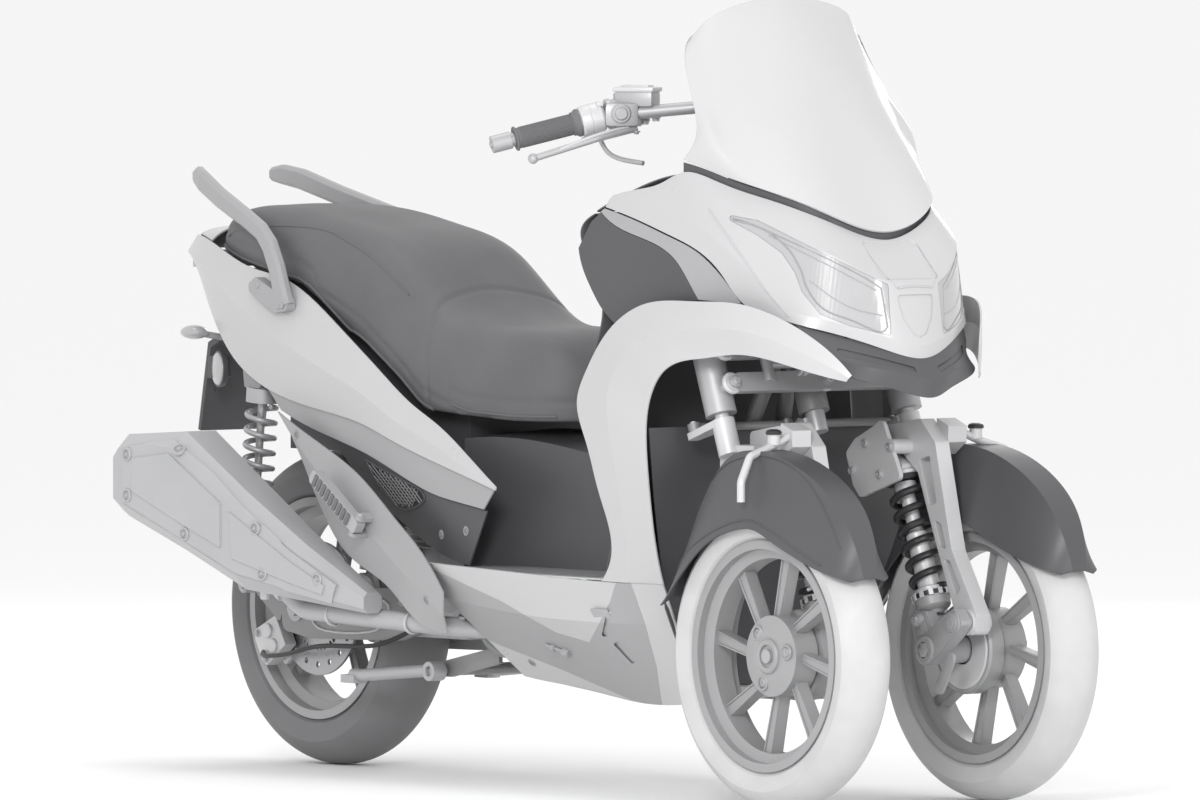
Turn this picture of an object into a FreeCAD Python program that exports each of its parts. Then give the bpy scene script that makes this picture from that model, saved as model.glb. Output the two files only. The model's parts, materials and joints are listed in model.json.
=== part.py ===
import FreeCAD, Part
import math
import os

import Sketcher
from FreeCAD import Placement, Rotation, Vector

# A tilting three-wheeler: two steered front wheels on a leaning linkage, one driven rear wheel,
# a step-through scooter body, a long seat over a storage tub and a tall windshield.
# Millimetres. X points forward from the rear axle, Y to the rider's left, Z up from the floor.
# Every sub-part's Placement then moves it so that the origin is under the middle of the whole machine.

os.makedirs("parts", exist_ok=True)
doc = FreeCAD.newDocument("reverse_trike")
sheet = doc.addObject("Spreadsheet::Sheet", "sizes")

SIZES = {
    # Where the wheels stand
    "wheelbase": 1560, "front_track": 450, "middle_from_rear_axle": 746,
    # Front wheels
    "front_tyre_radius": 262, "front_tyre_half": 54, "front_bead_radius": 188, "front_rim_half": 42,
    "rim_flange": 9, "rim_wall": 6, "front_spoke_count": 8, "spoke_thick": 20, "spoke_lean": 26,
    "front_hub_radius": 69, "front_hub_half": 30, "front_axle_radius": 12,
    # Rear wheel
    "rear_tyre_radius": 276, "rear_tyre_half": 68, "rear_bead_radius": 186, "rear_rim_half": 56,
    "rear_spoke_count": 5, "rear_hub_radius": 58, "rear_hub_half": 46, "rear_axle_radius": 12,
    "disc_radius": 118, "disc_thick": 5, "disc_hole_radius": 5, "disc_hole_count": 18,
    # Steering
    "steer_rake": 20.5, "king_reach": 1348, "king_height": 690, "king_side": 200,
    "stem_radius": 17, "column_radius": 27, "steer_arm": 62, "tie_rod_radius": 7,
    # Walls and clearances
    "panel_wall": 3, "fender_wall": 3, "shield_wall": 4, "tub_wall": 3, "seat_gap": 0.3, "pin_gap": 0.05,
    # Tubes
    "frame_tube_radius": 17, "bar_tube_radius": 11, "grip_radius": 17.5, "grip_length": 102,
    "exhaust_pipe_radius": 17, "stand_tube_radius": 11, "spring_wire": 5, "rear_spring_wire": 5,
    # Heights that other pieces hang from
    "floor_height": 376, "mirror_thread_radius": 5, "plate_hole_radius": 3,
    "plate_hole_spacing": 100,
}

for row, (alias, value) in enumerate(SIZES.items(), start=1):
    sheet.set("A%d" % row, alias.replace("_", " "))
    sheet.set("B%d" % row, str(value))
    sheet.setAlias("B%d" % row, alias)
doc.recompute()


class Size:
    """A number together with the sheet expression that gives it."""

    def __init__(self, value, text):
        self.value = float(value)
        self.text = text

    def __float__(self):
        return self.value

    def __add__(self, other):
        return Size(self.value + float(other), "(%s + %s)" % (self.text, words(other)))

    def __sub__(self, other):
        return Size(self.value - float(other), "(%s - %s)" % (self.text, words(other)))

    def __mul__(self, other):
        return Size(self.value * float(other), "(%s * %s)" % (self.text, words(other)))

    def __truediv__(self, other):
        return Size(self.value / float(other), "(%s / %s)" % (self.text, words(other)))

    def __neg__(self):
        return Size(-self.value, "(0 - %s)" % self.text)

    __radd__ = __add__
    __rmul__ = __mul__

    def __rsub__(self, other):
        return Size(float(other) - self.value, "(%s - %s)" % (words(other), self.text))


def words(item):
    return item.text if isinstance(item, Size) else repr(float(item))


def size(alias):
    return Size(float(sheet.get(alias)), "sizes." + alias)


wheelbase = size("wheelbase")
middle = size("middle_from_rear_axle")
front_side = size("front_track") / 2
front_tyre_radius = size("front_tyre_radius")
rear_tyre_radius = size("rear_tyre_radius")
wall = float(size("panel_wall"))
seat_gap = float(size("seat_gap"))
pin_gap = float(size("pin_gap"))

DRAWN_WHEELBASE = 1560.0
REAR_FIXED, FRONT_FIXED = 420.0, 1000.0
stretch = float(wheelbase) - DRAWN_WHEELBASE


def at(x, y, z):
    """A body point: what lies between the seat and the leg shield stretches with the wheelbase."""
    share = min(1.0, max(0.0, (float(x) - REAR_FIXED) / (FRONT_FIXED - REAR_FIXED)))
    return Vector(float(x) + share * stretch, float(y), float(z))


made = {}


def node(label, shape):
    """A sub-part whose shape is worked out below."""
    item = doc.addObject("Part::Feature", label)
    item.Label = label
    item.Shape = shape
    item.Placement = Placement(Vector(-float(middle), 0, 0), Rotation()).multiply(item.Placement)
    made[label] = item
    return shape


def part_body(label, x, y, z):
    """A PartDesign body whose own origin lies at the point given in sheet expressions."""
    body = doc.addObject("PartDesign::Body", label)
    body.Label = label
    for axis, item in zip("xyz", (x - middle, y, z)):
        body.setExpression("Placement.Base." + axis, words(item))
    made[label] = body
    return body


def origin_part(body, role):
    return next(item for item in body.Origin.OriginFeatures if item.Role == role)


def new_sketch(body, name, plane):
    sketch = body.newObject("Sketcher::SketchObject", name)
    sketch.AttachmentSupport = (origin_part(body, plane), [""])
    sketch.MapMode = "FlatFace"
    return sketch


def bind(sketch, kind, *args):
    """Adds one constraint whose last argument is a Size or a number."""
    index = sketch.addConstraint(Sketcher.Constraint(kind, *args[:-1], float(args[-1])))
    if isinstance(args[-1], Size):
        sketch.setExpression("Constraints[%d]" % index, args[-1].text)


def pin_point(sketch, geometry, end, x, y):
    bind(sketch, "DistanceX", -1, 1, geometry, end, x)
    bind(sketch, "DistanceY", -1, 1, geometry, end, y)


def arc_between(start, end, radius, bulge):
    """An arc of a given radius from start to end, which bulges to the left of that line if bulge > 0."""
    chord = end - start
    across = Vector(-chord.y, chord.x, 0)
    across.normalize()
    rise = radius - math.sqrt(radius * radius - (chord.Length / 2) ** 2)
    return Part.Arc(start, (start + end) * 0.5 + across * rise * bulge, end)


def outline(sketch, corners):
    """A closed outline. A corner is (x, y), or (x, y, radius, bulge) where an arc leads on from it."""
    count = len(corners)
    places = [Vector(float(c[0]), float(c[1]), 0) for c in corners]
    ids = []
    for i, corner in enumerate(corners):
        start, end = places[i], places[(i + 1) % count]
        if len(corner) == 2:
            ids.append((sketch.addGeometry(Part.LineSegment(start, end)), 1, 2))
            continue
        geometry = sketch.addGeometry(arc_between(start, end, float(corner[2]), corner[3]))
        starts_here = sketch.getPoint(geometry, 1).distanceToPoint(start) < 0.01
        ids.append((geometry, 1, 2) if starts_here else (geometry, 2, 1))
    for i in range(count):
        geometry, first, last = ids[i]
        following, start_end, _ = ids[(i + 1) % count]
        sketch.addConstraint(Sketcher.Constraint("Coincident", geometry, last, following, start_end))
    for (geometry, first, last), corner in zip(ids, corners):
        pin_point(sketch, geometry, first, corner[0], corner[1])
        if len(corner) == 4:
            bind(sketch, "Radius", geometry, corner[2])


def circle(sketch, x, y, radius):
    geometry = sketch.addGeometry(Part.Circle(Vector(float(x), float(y), 0), Vector(0, 0, 1), float(radius)))
    pin_point(sketch, geometry, 3, x, y)
    bind(sketch, "Radius", geometry, radius)


def revolve(body, name, corners):
    """A revolution about the body's Y axis of an outline given as (radius, y)."""
    sketch = new_sketch(body, name + "_profile", "XY_Plane")
    outline(sketch, corners)
    feature = body.newObject("PartDesign::Revolution", name)
    feature.Profile = sketch
    feature.ReferenceAxis = (sketch, ["V_Axis"])
    feature.Angle = 360
    body.Tip = feature
    return feature


def pad(body, name, plane, draw, length, middle_plane=True):
    sketch = new_sketch(body, name + "_outline", plane)
    draw(sketch)
    feature = body.newObject("PartDesign::Pad", name)
    feature.Profile = sketch
    feature.Midplane = middle_plane
    feature.Length = float(length)
    feature.setExpression("Length", words(length))
    body.Tip = feature
    return feature


def cut_through(body, name, plane, draw):
    sketch = new_sketch(body, name + "_outline", plane)
    draw(sketch)
    feature = body.newObject("PartDesign::Pocket", name)
    feature.Profile = sketch
    feature.Type = 1
    feature.Midplane = True
    body.Tip = feature
    return feature


def around(body, name, feature, count):
    """Repeats a feature round the body's Y axis."""
    pattern = body.newObject("PartDesign::PolarPattern", name)
    pattern.Originals = [feature]
    pattern.Axis = (origin_part(body, "Y_Axis"), [""])
    pattern.Angle = 360
    pattern.Occurrences = int(float(count))
    pattern.setExpression("Occurrences", words(count))
    body.Tip = pattern
    return pattern


# Shapes made by function

def curve(points):
    if len(points) == 2:
        return Part.LineSegment(points[0], points[1]).toShape()
    line = Part.BSplineCurve()
    line.interpolate(points)
    return line.toShape()


def normals(rows):
    """The unit normal at each point of a grid of points."""
    result = []
    for i, row in enumerate(rows):
        line = []
        for j in range(len(row)):
            along = row[min(j + 1, len(row) - 1)] - row[max(j - 1, 0)]
            over = rows[min(i + 1, len(rows) - 1)][j] - rows[max(i - 1, 0)][j]
            normal = along.cross(over)
            normal.normalize()
            line.append(normal)
        result.append(line)
    return result


def sewn(faces):
    shell = Part.Compound(faces)
    shell.sewShape()
    solid = Part.Solid(shell.Shells[0])
    if solid.Volume < 0:
        solid.reverse()
    return solid


def left_half(edge):
    """The second half of a line that runs from the right side over the middle to the left."""
    line = edge.Curve.copy()
    middle_value = (line.FirstParameter + line.LastParameter) / 2
    line.segment(middle_value, line.LastParameter)
    return line.toShape()


def skin(rows, thick, outward, smooth=False, halved=False):
    """A thin panel. Each row is one feature line along it; strips between rows are straight across
    unless smooth. The wall lies on the side away from outward. A halved panel is built on the left
    from rows that run right across, and joined to its mirror image."""
    facing = normals(rows)
    centre_row, centre_point = len(rows) // 2, len(rows[0]) // 2
    sign = 1 if facing[centre_row][centre_point].dot(outward) > 0 else -1
    inner = [[p - n * (sign * thick) for p, n in zip(row, line)] for row, line in zip(rows, facing)]
    if smooth:
        faces = []
        for grid in (rows, inner):
            surface = Part.BSplineSurface()
            surface.interpolate(grid)
            faces.append(surface.toShape())
        sides = [Part.makeRuledSurface(a, b) for a, b in zip(faces[0].Edges, faces[1].Edges)]
        return sewn(faces + sides)
    outer_lines = [curve(row) for row in rows]
    inner_lines = [curve(row) for row in inner]
    if halved:
        outer_lines = [left_half(line) for line in outer_lines]
        inner_lines = [left_half(line) for line in inner_lines]
    faces = []
    for lines in (outer_lines, inner_lines):
        for first, second in zip(lines, lines[1:]):
            faces.append(Part.makeRuledSurface(first, second))
    faces.append(Part.makeRuledSurface(outer_lines[0], inner_lines[0]))
    faces.append(Part.makeRuledSurface(outer_lines[-1], inner_lines[-1]))
    for end in (centre_point if halved else 0, -1):
        for i in range(len(rows) - 1):
            outer_edge = Part.LineSegment(rows[i][end], rows[i + 1][end]).toShape()
            inner_edge = Part.LineSegment(inner[i][end], inner[i + 1][end]).toShape()
            faces.append(Part.makeRuledSurface(outer_edge, inner_edge))
    solid = sewn(faces)
    return solid.fuse(mirrored(solid)) if halved else solid


def set_in(rows, depth, outward):
    """The same feature lines, moved in from the panel's face by depth."""
    facing = normals(rows)
    middle_line = facing[len(rows) // 2]
    sign = 1 if middle_line[len(middle_line) // 2].dot(outward) > 0 else -1
    return [[p - n * (sign * depth) for p, n in zip(row, line)] for row, line in zip(rows, facing)]


def rows_of(*rows):
    return [[at(*point) for point in row] for row in rows]


def both_sides(*rows):
    """Rows given from the middle line outward on the left, made whole across the machine."""
    whole = []
    for row in rows:
        left = [at(*point) for point in row]
        right = [Vector(p.x, -p.y, p.z) for p in reversed(left[1:])]
        whole.append(right + left)
    return whole


def mirrored(shape):
    return shape.mirror(Vector(0, 0, 0), Vector(0, 1, 0))


def path(points, bend, closed=False):
    """A wire of straight runs joined by tangent arcs."""
    count = len(points)
    starts, ends, arcs = list(points), list(points), [None] * count
    for i in range(count):
        if not closed and i in (0, count - 1):
            continue
        before = points[i - 1] - points[i]
        after = points[(i + 1) % count] - points[i]
        shortest = min(before.Length, after.Length)
        before.normalize()
        after.normalize()
        turn = math.pi - before.getAngle(after)
        if turn < 0.01:
            continue
        reach = min(bend * math.tan(turn / 2), 0.45 * shortest)
        half_way = before + after
        half_way.normalize()
        radius = reach / math.tan(turn / 2)
        to_arc = radius / math.cos(turn / 2) - radius
        ends[i] = points[i] + before * reach
        starts[i] = points[i] + after * reach
        arcs[i] = Part.Arc(ends[i], points[i] + half_way * to_arc, starts[i]).toShape()
    edges = []
    for i in range(count):
        if arcs[i] is not None:
            edges.append(arcs[i])
        if i < count - 1 or closed:
            edges.append(Part.LineSegment(starts[i], ends[(i + 1) % count]).toShape())
    return Part.Wire(Part.__sortEdges__(edges))


def rod(points, radius, bend=40.0):
    """A round bar or tube, closed at its ends, along straight runs and arcs."""
    radius = float(radius)
    start, direction = points[0], points[1] - points[0]
    if len(points) == 2:
        return Part.makeCylinder(radius, direction.Length, start, direction)
    ring = Part.Wire(Part.makeCircle(radius, start, direction))
    return path(points, bend).makePipeShell([ring], True, True)


def plate(points, thick, bend=0.0, holes=()):
    """A flat plate: its outline, swept by the vector thick, with round holes (centre, radius)."""
    wire = path(points, bend, True) if bend else Part.makePolygon(list(points) + [points[0]])
    solid = Part.Face(wire).extrude(thick)
    for centre, radius in holes:
        solid = solid.cut(Part.makeCylinder(radius, thick.Length * 3, centre - thick, thick))
    return solid


def barrel(start, end, radius):
    return Part.makeCylinder(float(radius), (end - start).Length, start, end - start)


def tube(start, end, radius, bore):
    return barrel(start, end, radius).cut(barrel(start, end, bore))


def loft(sections, ruled=False):
    return Part.makeLoft(sections, True, ruled)


def coil(start, end, radius, wire, turns):
    """A spring of round wire along the line from start to end."""
    length = (end - start).Length
    height = length - 2 * wire
    helix = Part.makeHelix(height / turns, height, radius)
    ring = Part.Wire(Part.makeCircle(wire, Vector(radius, 0, 0), Vector(0, 1, 0)))
    solid = Part.Wire(helix.Edges).makePipeShell([ring], True, True)
    solid.Placement = Placement(Vector(0, 0, wire), Rotation())
    turn = Rotation(Vector(0, 0, 1), end - start)
    return solid.transformed(Placement(start, turn).toMatrix())


def less(shape, *others):
    for other in others:
        shape = shape.cut(other)
    return shape


def largest(shape):
    return max(shape.Solids, key=lambda solid: solid.Volume)


def two_sided(label, shape):
    """One node for a left piece and its mirror image on the right, which don't touch."""
    return node(label, Part.Compound([shape, mirrored(shape)]))
# Wheels: the same casting on both sides at the front, turned and not mirrored

def tyre(label, x, side, radius, half, bead, rim_half):
    body = part_body(label, x, side, radius)
    foot, edge = rim_half - size("rim_flange"), bead + size("rim_flange")
    crown = half * 1.05
    shoulder = radius - half * 0.603
    revolve(body, "carcass", [
        (bead, -(foot - 0.5)), (edge + 2, -(rim_half - 4.5)), (bead + 16, -(rim_half + 2), half * 1.6, -1),
        (shoulder, half * -0.95, crown, -1), (shoulder, half * 0.95, half * 1.6, -1),
        (bead + 16, rim_half + 2), (edge + 2, rim_half - 4.5), (bead, foot - 0.5)])
    return body


def rim(label, x, side, height, bead, rim_half, hub_radius, hub_half, spokes, axle):
    body = part_body(label, x, side, height)
    flange, well = size("rim_flange"), size("rim_wall")
    edge, base = bead + flange, bead - 16
    deep = rim_half * 0.45
    lip = rim_half - flange
    revolve(body, "barrel", [
        (edge, rim_half * -1), (edge, rim_half * -1 + 4), (bead, lip * -1),
        (bead, deep * -1 - 8), (base, deep * -1), (base, deep), (bead, deep + 8),
        (bead, lip), (edge, rim_half - 4), (edge, rim_half),
        (bead - well, rim_half), (bead - well, deep + 8), (base - well, deep),
        (base - well, deep * -1), (bead - well, deep * -1 - 8), (bead - well, rim_half * -1)])
    revolve(body, "hub", [
        (axle + pin_gap, hub_half * -1), (axle + pin_gap, hub_half), (hub_radius * 0.6, hub_half),
        (hub_radius, hub_half - 6), (hub_radius, hub_half * -1 + 6), (hub_radius * 0.6, hub_half * -1)])
    lean = size("spoke_lean")
    root, tip = hub_radius - 6, base - 3
    spoke = pad(body, "spoke", "XZ_Plane", lambda s: outline(s, [
        (-8.5, root), (8.5, root), (lean + 12, tip), (lean - 12, tip)]), size("spoke_thick"))
    around(body, "spokes", spoke, spokes)
    return body


zero = middle * 0
for name, sign in (("right", -1), ("left", 1)):
    tyre("front_tyre_" + name, wheelbase, front_side * sign, front_tyre_radius,
         size("front_tyre_half"), size("front_bead_radius"), size("front_rim_half"))
    rim("front_rim_" + name, wheelbase, front_side * sign, front_tyre_radius, size("front_bead_radius"),
        size("front_rim_half"), size("front_hub_radius"), size("front_hub_half"),
        size("front_spoke_count"), size("front_axle_radius"))

tyre("rear_tyre", zero, zero, rear_tyre_radius, size("rear_tyre_half"),
     size("rear_bead_radius"), size("rear_rim_half"))
rim("rear_rim", zero, zero, rear_tyre_radius, size("rear_bead_radius"),
    size("rear_rim_half"), size("rear_hub_radius"), size("rear_hub_half"), size("rear_spoke_count"),
    size("rear_axle_radius"))


def brake_disc():
    """The drilled rear disc on the right of the hub."""
    hub_side, thick = size("rear_hub_half"), size("disc_thick")
    body = part_body("rear_disc", zero, -(hub_side + thick / 2), rear_tyre_radius)
    radius = size("disc_radius")

    def ring(sketch):
        circle(sketch, zero, zero, radius)
        circle(sketch, zero, zero, size("rear_axle_radius") + pin_gap)

    pad(body, "ring", "XZ_Plane", ring, thick)
    hole = cut_through(body, "hole", "XZ_Plane",
                       lambda s: circle(s, zero, radius * 0.84, size("disc_hole_radius")))
    around(body, "holes", hole, size("disc_hole_count"))


brake_disc()


# The steered front corners. The king pins and the steering stem are parallel.

rake = math.radians(float(size("steer_rake")))
steer_axis = Vector(-math.sin(rake), 0, math.cos(rake))
ahead = Vector(math.cos(rake), 0, math.sin(rake))
king_x, king_z = float(size("king_reach")) + stretch, float(size("king_height"))
king_y = float(size("king_side"))
axle_x = float(wheelbase)
axle_z = float(front_tyre_radius)
wheel_y = float(front_side)
hub_half = float(size("front_hub_half"))
axle_radius = float(size("front_axle_radius"))
stem_radius = float(size("stem_radius"))


def on_king(height, side=None):
    """The point of the left king pin's axis at a height."""
    run = (height - king_z) * math.tan(rake)
    return Vector(king_x - run, king_y if side is None else side, height)


def corner(x, y, z):
    """A point carried by the left front wheel: x and z from its axle, y across the machine."""
    return Vector(axle_x + x, y, axle_z + z)


STEER_ARM_HEIGHT, ARM_HALF, STEER_STUD, PIN_SIDE = 649, 6, 5, 14


def steer_pin(side):
    """The pin that a tie rod turns on, behind the steering axis that lies at side."""
    return on_king(STEER_ARM_HEIGHT, side) - ahead * float(size("steer_arm")) + Vector(0, PIN_SIDE, 0)


def upright():
    """The cast arm from the king pin, in over the tyre's shoulder and down inboard of the wheel."""
    pin = barrel(on_king(king_z - 62), on_king(king_z + 92), stem_radius - 5)
    collar = barrel(on_king(king_z - 95), on_king(STEER_ARM_HEIGHT + ARM_HALF), stem_radius + 3)
    top = [corner(-190, 0, 372), corner(-60, 0, 392), corner(-18, 0, 352), corner(28, 0, 170),
           corner(96, 0, 62), corner(92, 0, 28), corner(52, 0, 26), corner(34, 0, 70),
           corner(-20, 0, 190), corner(-66, 0, 300), corner(-120, 0, 340), corner(-190, 0, 336)]
    leg_y, leg_thick = 118, 30
    leg = plate([Vector(p.x, leg_y, p.z) for p in top], Vector(0, leg_thick, 0), 9)
    arm = plate([corner(x, leg_y + leg_thick, z) for x, z in
                 ((-206, 305), (-160, 305), (-146, 325), (-112, 338), (-112, 352), (-206, 350))],
                Vector(0, king_y - leg_y - leg_thick, 0))
    shock_lug = plate([corner(x, leg_y - 18, z) for x, z in ((-146, 338), (-84, 312), (-98, 284), (-130, 288))],
                      Vector(0, leg_thick + 18, 0), 8)
    root, tip = on_king(STEER_ARM_HEIGHT), steer_pin(king_y)
    along = steer_axis * ARM_HALF
    steer_lug = plate([root + Vector(0, 20, 0) - along, tip + Vector(0, 12, 0) - ahead * 12 - along,
                       tip - Vector(0, 12, 0) - ahead * 12 - along, root - Vector(0, 24, 0) - along], along * 2, 5)
    steer_stud = barrel(tip - along, tip + steer_axis * 24, STEER_STUD)
    windows = [plate([corner(-2, leg_y - 1, 214), corner(14, leg_y - 1, 170), corner(-4, leg_y - 1, 176),
                      corner(-22, leg_y - 1, 222)], Vector(0, 40, 0), 4),
               plate([corner(22, leg_y - 1, 152), corner(52, leg_y - 1, 106), corner(40, leg_y - 1, 92),
                      corner(4, leg_y - 1, 156)], Vector(0, 40, 0), 4),
               plate([corner(-34, leg_y - 1, 330), corner(-14, leg_y - 1, 250), corner(-34, leg_y - 1, 244),
                      corner(-62, leg_y - 1, 322)], Vector(0, 40, 0), 5)]
    boss = barrel(corner(71, leg_y - 4, 49), corner(71, leg_y + 36, 49), 22)
    cover = plate([corner(x, leg_y - 40, z) for x, z in
                   ((-115, 391), (-141, 376), (-190, 354), (-215, 330), (-195, 275), (-175, 254), (-61, 290))],
                  Vector(0, 8, 0), 10)
    posts = [barrel(corner(x, leg_y - 40, z), corner(x, leg_y + 2, z), 13) for x, z in ((-160, 348), (-92, 344))]
    solid = less(leg, *windows).fuse([arm, collar, pin, boss, shock_lug, steer_lug, steer_stud, cover] + posts)
    return solid.removeSplitter()


def link():
    """The link from the foot of the upright back to the axle, with the ear that carries the spring."""
    inner, outer = 88, 111
    bar = [corner(71, inner, 75), corner(96, inner, 49), corner(71, inner, 24), corner(6, inner, -26),
           corner(-26, inner, -8), corner(-44, inner, 40), corner(-36, inner, 66), corner(-8, inner, 66),
           corner(16, inner, 36)]
    arm = plate(bar, Vector(0, outer - inner, 0), 8)
    stub = barrel(corner(0, outer - 1, 0), corner(0, wheel_y + hub_half + 6, 0), axle_radius)
    spacer = barrel(corner(0, outer - 1, 0), corner(0, wheel_y - hub_half - 0.3, 0), axle_radius + 12)
    ears = barrel(corner(-20, inner - 10, 50), corner(-20, outer + 32, 50), 11)
    return arm.fuse([stub, spacer, ears]).removeSplitter()


shock_foot = corner(-20, 120, 62)
shock_head = corner(-112, 120, 300)


def shock():
    way = shock_head - shock_foot
    way.normalize()
    length = (shock_head - shock_foot).Length
    inner_rod = barrel(shock_foot, shock_head, 8)
    body = barrel(shock_foot + way * 12, shock_foot + way * (length * 0.55), 18)
    seat_low = barrel(shock_foot + way * 26, shock_foot + way * 34, 33)
    seat_high = barrel(shock_head - way * 20, shock_head - way * 12, 33)
    return inner_rod.fuse([body, seat_low, seat_high]).removeSplitter()


def spring():
    way = shock_head - shock_foot
    way.normalize()
    return coil(shock_foot + way * (34 + seat_gap), shock_head - way * (20 + seat_gap), 27, float(size("spring_wire")), 6.5)


def fender():
    """A trough over the front wheel: a crown band with two flanks that drop towards the tyre."""
    thick = float(size("fender_wall"))
    crown = [(-262, 92), (-216, 190), (-151, 296), (-108, 334), (-17, 346), (93, 318), (150, 288),
             (198, 246), (228, 196), (243, 140)]
    edge = [(-268, 78), (-248, 84), (-134, 182), (-55, 212), (0, 216), (58, 196), (120, 172),
            (180, 152), (222, 142), (238, 136)]
    half_crown = [34, 34, 32, 31, 30, 30, 29, 27, 22, 14]
    half_edge = [56, 66, 68, 68, 68, 68, 66, 62, 54, 36]
    rows = []
    for side in (1, -1):
        flank = [corner(x, wheel_y + side * w, z) for (x, z), w in zip(edge, half_edge)]
        top = [corner(x, wheel_y + side * w, z) for (x, z), w in zip(crown, half_crown)]
        rows += [flank, top] if side == 1 else [top, flank]
    return skin(rows, thick, Vector(0, 0, 1))


def fender_bracket(fender_shape):
    """The strap between the fender's crown and the shoulder of the upright."""
    strap = plate([corner(-52, 148, 330), corner(-20, 148, 352), corner(-20, 148, 380),
                   corner(-52, 148, 392)], Vector(0, 40, 0))
    return less(strap, fender_shape)


def fender_strap():
    """The hooked strap that runs over the fender from the bracket and down its outer side."""
    knob = corner(-33, wheel_y - 7, 356)
    hook = rod([corner(-36, wheel_y - 60, 378), knob, corner(-25, wheel_y + 50, 338),
                corner(-16, wheel_y + 76, 296), corner(-16, wheel_y + 76, 262)], 7, 14)
    return hook.fuse(barrel(knob, knob + Vector(0, 0, 18), 11))


def front_corner():
    upright_shape = upright()
    link_shape = less(link(), upright_shape)
    shock_shape = less(shock(), link_shape, upright_shape)
    shell = less(fender(), upright_shape)
    parts = {"upright": upright_shape.fuse([less(fender_bracket(shell), upright_shape),
                                            largest(less(fender_strap(), shell))]).removeSplitter(),
             "link": link_shape, "shock": Part.Compound([shock_shape, less(spring(), shock_shape)]),
             "fender": shell}
    for name, shape in parts.items():
        node(name + "_left", shape)
        node(name + "_right", mirrored(shape))


front_corner()


# Bodywork. Points are (x from the rear axle, half-width, height) on the left side.

def windshield():
    rows = both_sides(
        [(1556, 0, 977), (1548, 75, 994), (1500, 145, 1030), (1400, 195, 1062), (1290, 230, 1097)],
        [(1471, 0, 1097), (1460, 80, 1110), (1420, 150, 1120), (1365, 200, 1128), (1318, 224, 1140)],
        [(1385, 0, 1215), (1375, 75, 1215), (1345, 140, 1213), (1310, 185, 1208), (1290, 211, 1202)],
        [(1318, 0, 1312), (1308, 70, 1310), (1288, 130, 1303), (1265, 172, 1290), (1250, 196, 1274)],
        [(1276, 0, 1372), (1273, 65, 1366), (1267, 126, 1350), (1253, 161, 1326), (1246, 183, 1303)])
    return skin(rows, float(size("shield_wall")), Vector(1, 0, 0.5), smooth=True)


COWL = [
    [(1118, 248, 1033), (1170, 242, 1043), (1230, 234, 1055), (1290, 226, 1076), (1350, 209, 1063),
     (1400, 191, 1046), (1455, 166, 1030), (1500, 141, 1014), (1530, 108, 997), (1548, 60, 976), (1556, 0, 963)],
    [(1111, 250, 1027), (1180, 244, 1036), (1265, 235, 1048), (1330, 228, 1043), (1400, 214, 1022),
     (1450, 200, 1000), (1500, 182, 978), (1560, 150, 950), (1600, 110, 924), (1630, 58, 896), (1635, 0, 892)],
    [(1105, 251, 1020), (1195, 248, 1018), (1300, 239, 1002), (1380, 232, 966), (1440, 222, 926),
     (1488, 207, 884), (1528, 188, 848), (1575, 153, 832), (1620, 100, 812), (1646, 50, 797), (1655, 0, 786)],
    [(1100, 252, 1012), (1200, 252, 990), (1275, 247, 968), (1340, 240, 945), (1400, 231, 903),
     (1440, 220, 858), (1490, 206, 838), (1540, 185, 824), (1600, 125, 803), (1640, 60, 778), (1655, 0, 764)],
]
PANEL_GAP = 2.4
LAMP_EDGE = [(650, 1010), (724, 997), (944, 890), (949, 803), (879, 820), (828, 840), (797, 878), (785, 911),
             (763, 943), (722, 972)]
HOOD_EDGE = [(1560, 50), (1566, 58), (1624, 60), (1628, 52)]
SHIELD_EDGE = [(36, 872), (38, 862), (31, 832), (15, 806), (0, 799)]
RECESS = 2.4


def cowl_rows():
    """The nose's feature lines: edge under the screen, ridge, lamps' lower edge and bottom edge."""
    rows = []
    for row in COWL:
        rows.append([at(x, -w, z) for x, w, z in row] + [at(x, w, z) for x, w, z in reversed(row[:-1])])
    return rows


def lamp_block():
    """What the right headlamp takes out of the nose, straight in along its own facing."""
    facing = Vector(0.7965, -0.6046, 0)
    along = Vector(0.6046, 0.7965, 0)
    corners = [along * u + Vector(0, 0, z) + facing * 1130 for u, z in LAMP_EDGE]
    return plate(corners, facing * 270, 5)


def nose_cowl():
    """The white front with its hood panel and shield set in, and the openings of both headlamps."""
    rows = cowl_rows()
    front = Vector(1, 0, 0)
    shell = skin(rows, wall, front, halved=True)
    backing = skin(set_in(rows, RECESS, front), wall, front, halved=True)
    hood = plate([at(x, -w, 860) for x, w in HOOD_EDGE] + [at(x, w, 860) for x, w in reversed(HOOD_EDGE)],
                 Vector(0, 0, 150), 5)
    shield = plate([at(1590, -w, z) for w, z in SHIELD_EDGE] + [at(1590, w, z) for w, z in reversed(SHIELD_EDGE[:-1])],
                   Vector(100, 0, 0), 5)
    right = lamp_block()
    blocks = [hood, shield]
    open_shell = less(shell, *blocks, right, mirrored(right))
    return open_shell.fuse([backing.common(block) for block in blocks])


def headlamp():
    """The right headlamp's lens, set in behind the nose's edge and filling its opening."""
    rows = set_in(cowl_rows(), RECESS * 0.6, Vector(1, 0, 0))
    return skin(rows, wall, Vector(1, 0, 0), halved=True).common(lamp_block())


def screen_mount():
    """The dark strip that closes the gap between the nose's top edge and the screen."""
    depth = 7
    low = [at(x - depth, w - 2 if w else 0, z - 3) for x, w, z in COWL[0][3:]]
    high = [at(x - depth, w - 2 if w else 0, z) for x, w, z in
            ((1290, 226, 1092), (1350, 209, 1076), (1400, 191, 1059), (1455, 166, 1043), (1500, 141, 1027),
             (1530, 108, 1010), (1548, 60, 987), (1556, 0, 975))]
    rows = []
    for row in (high, low):
        rows.append([Vector(p.x, -p.y, p.z) for p in row] + list(reversed(row[:-1])))
    return skin(rows, wall, Vector(1, 0, 0.4), halved=True)


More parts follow.
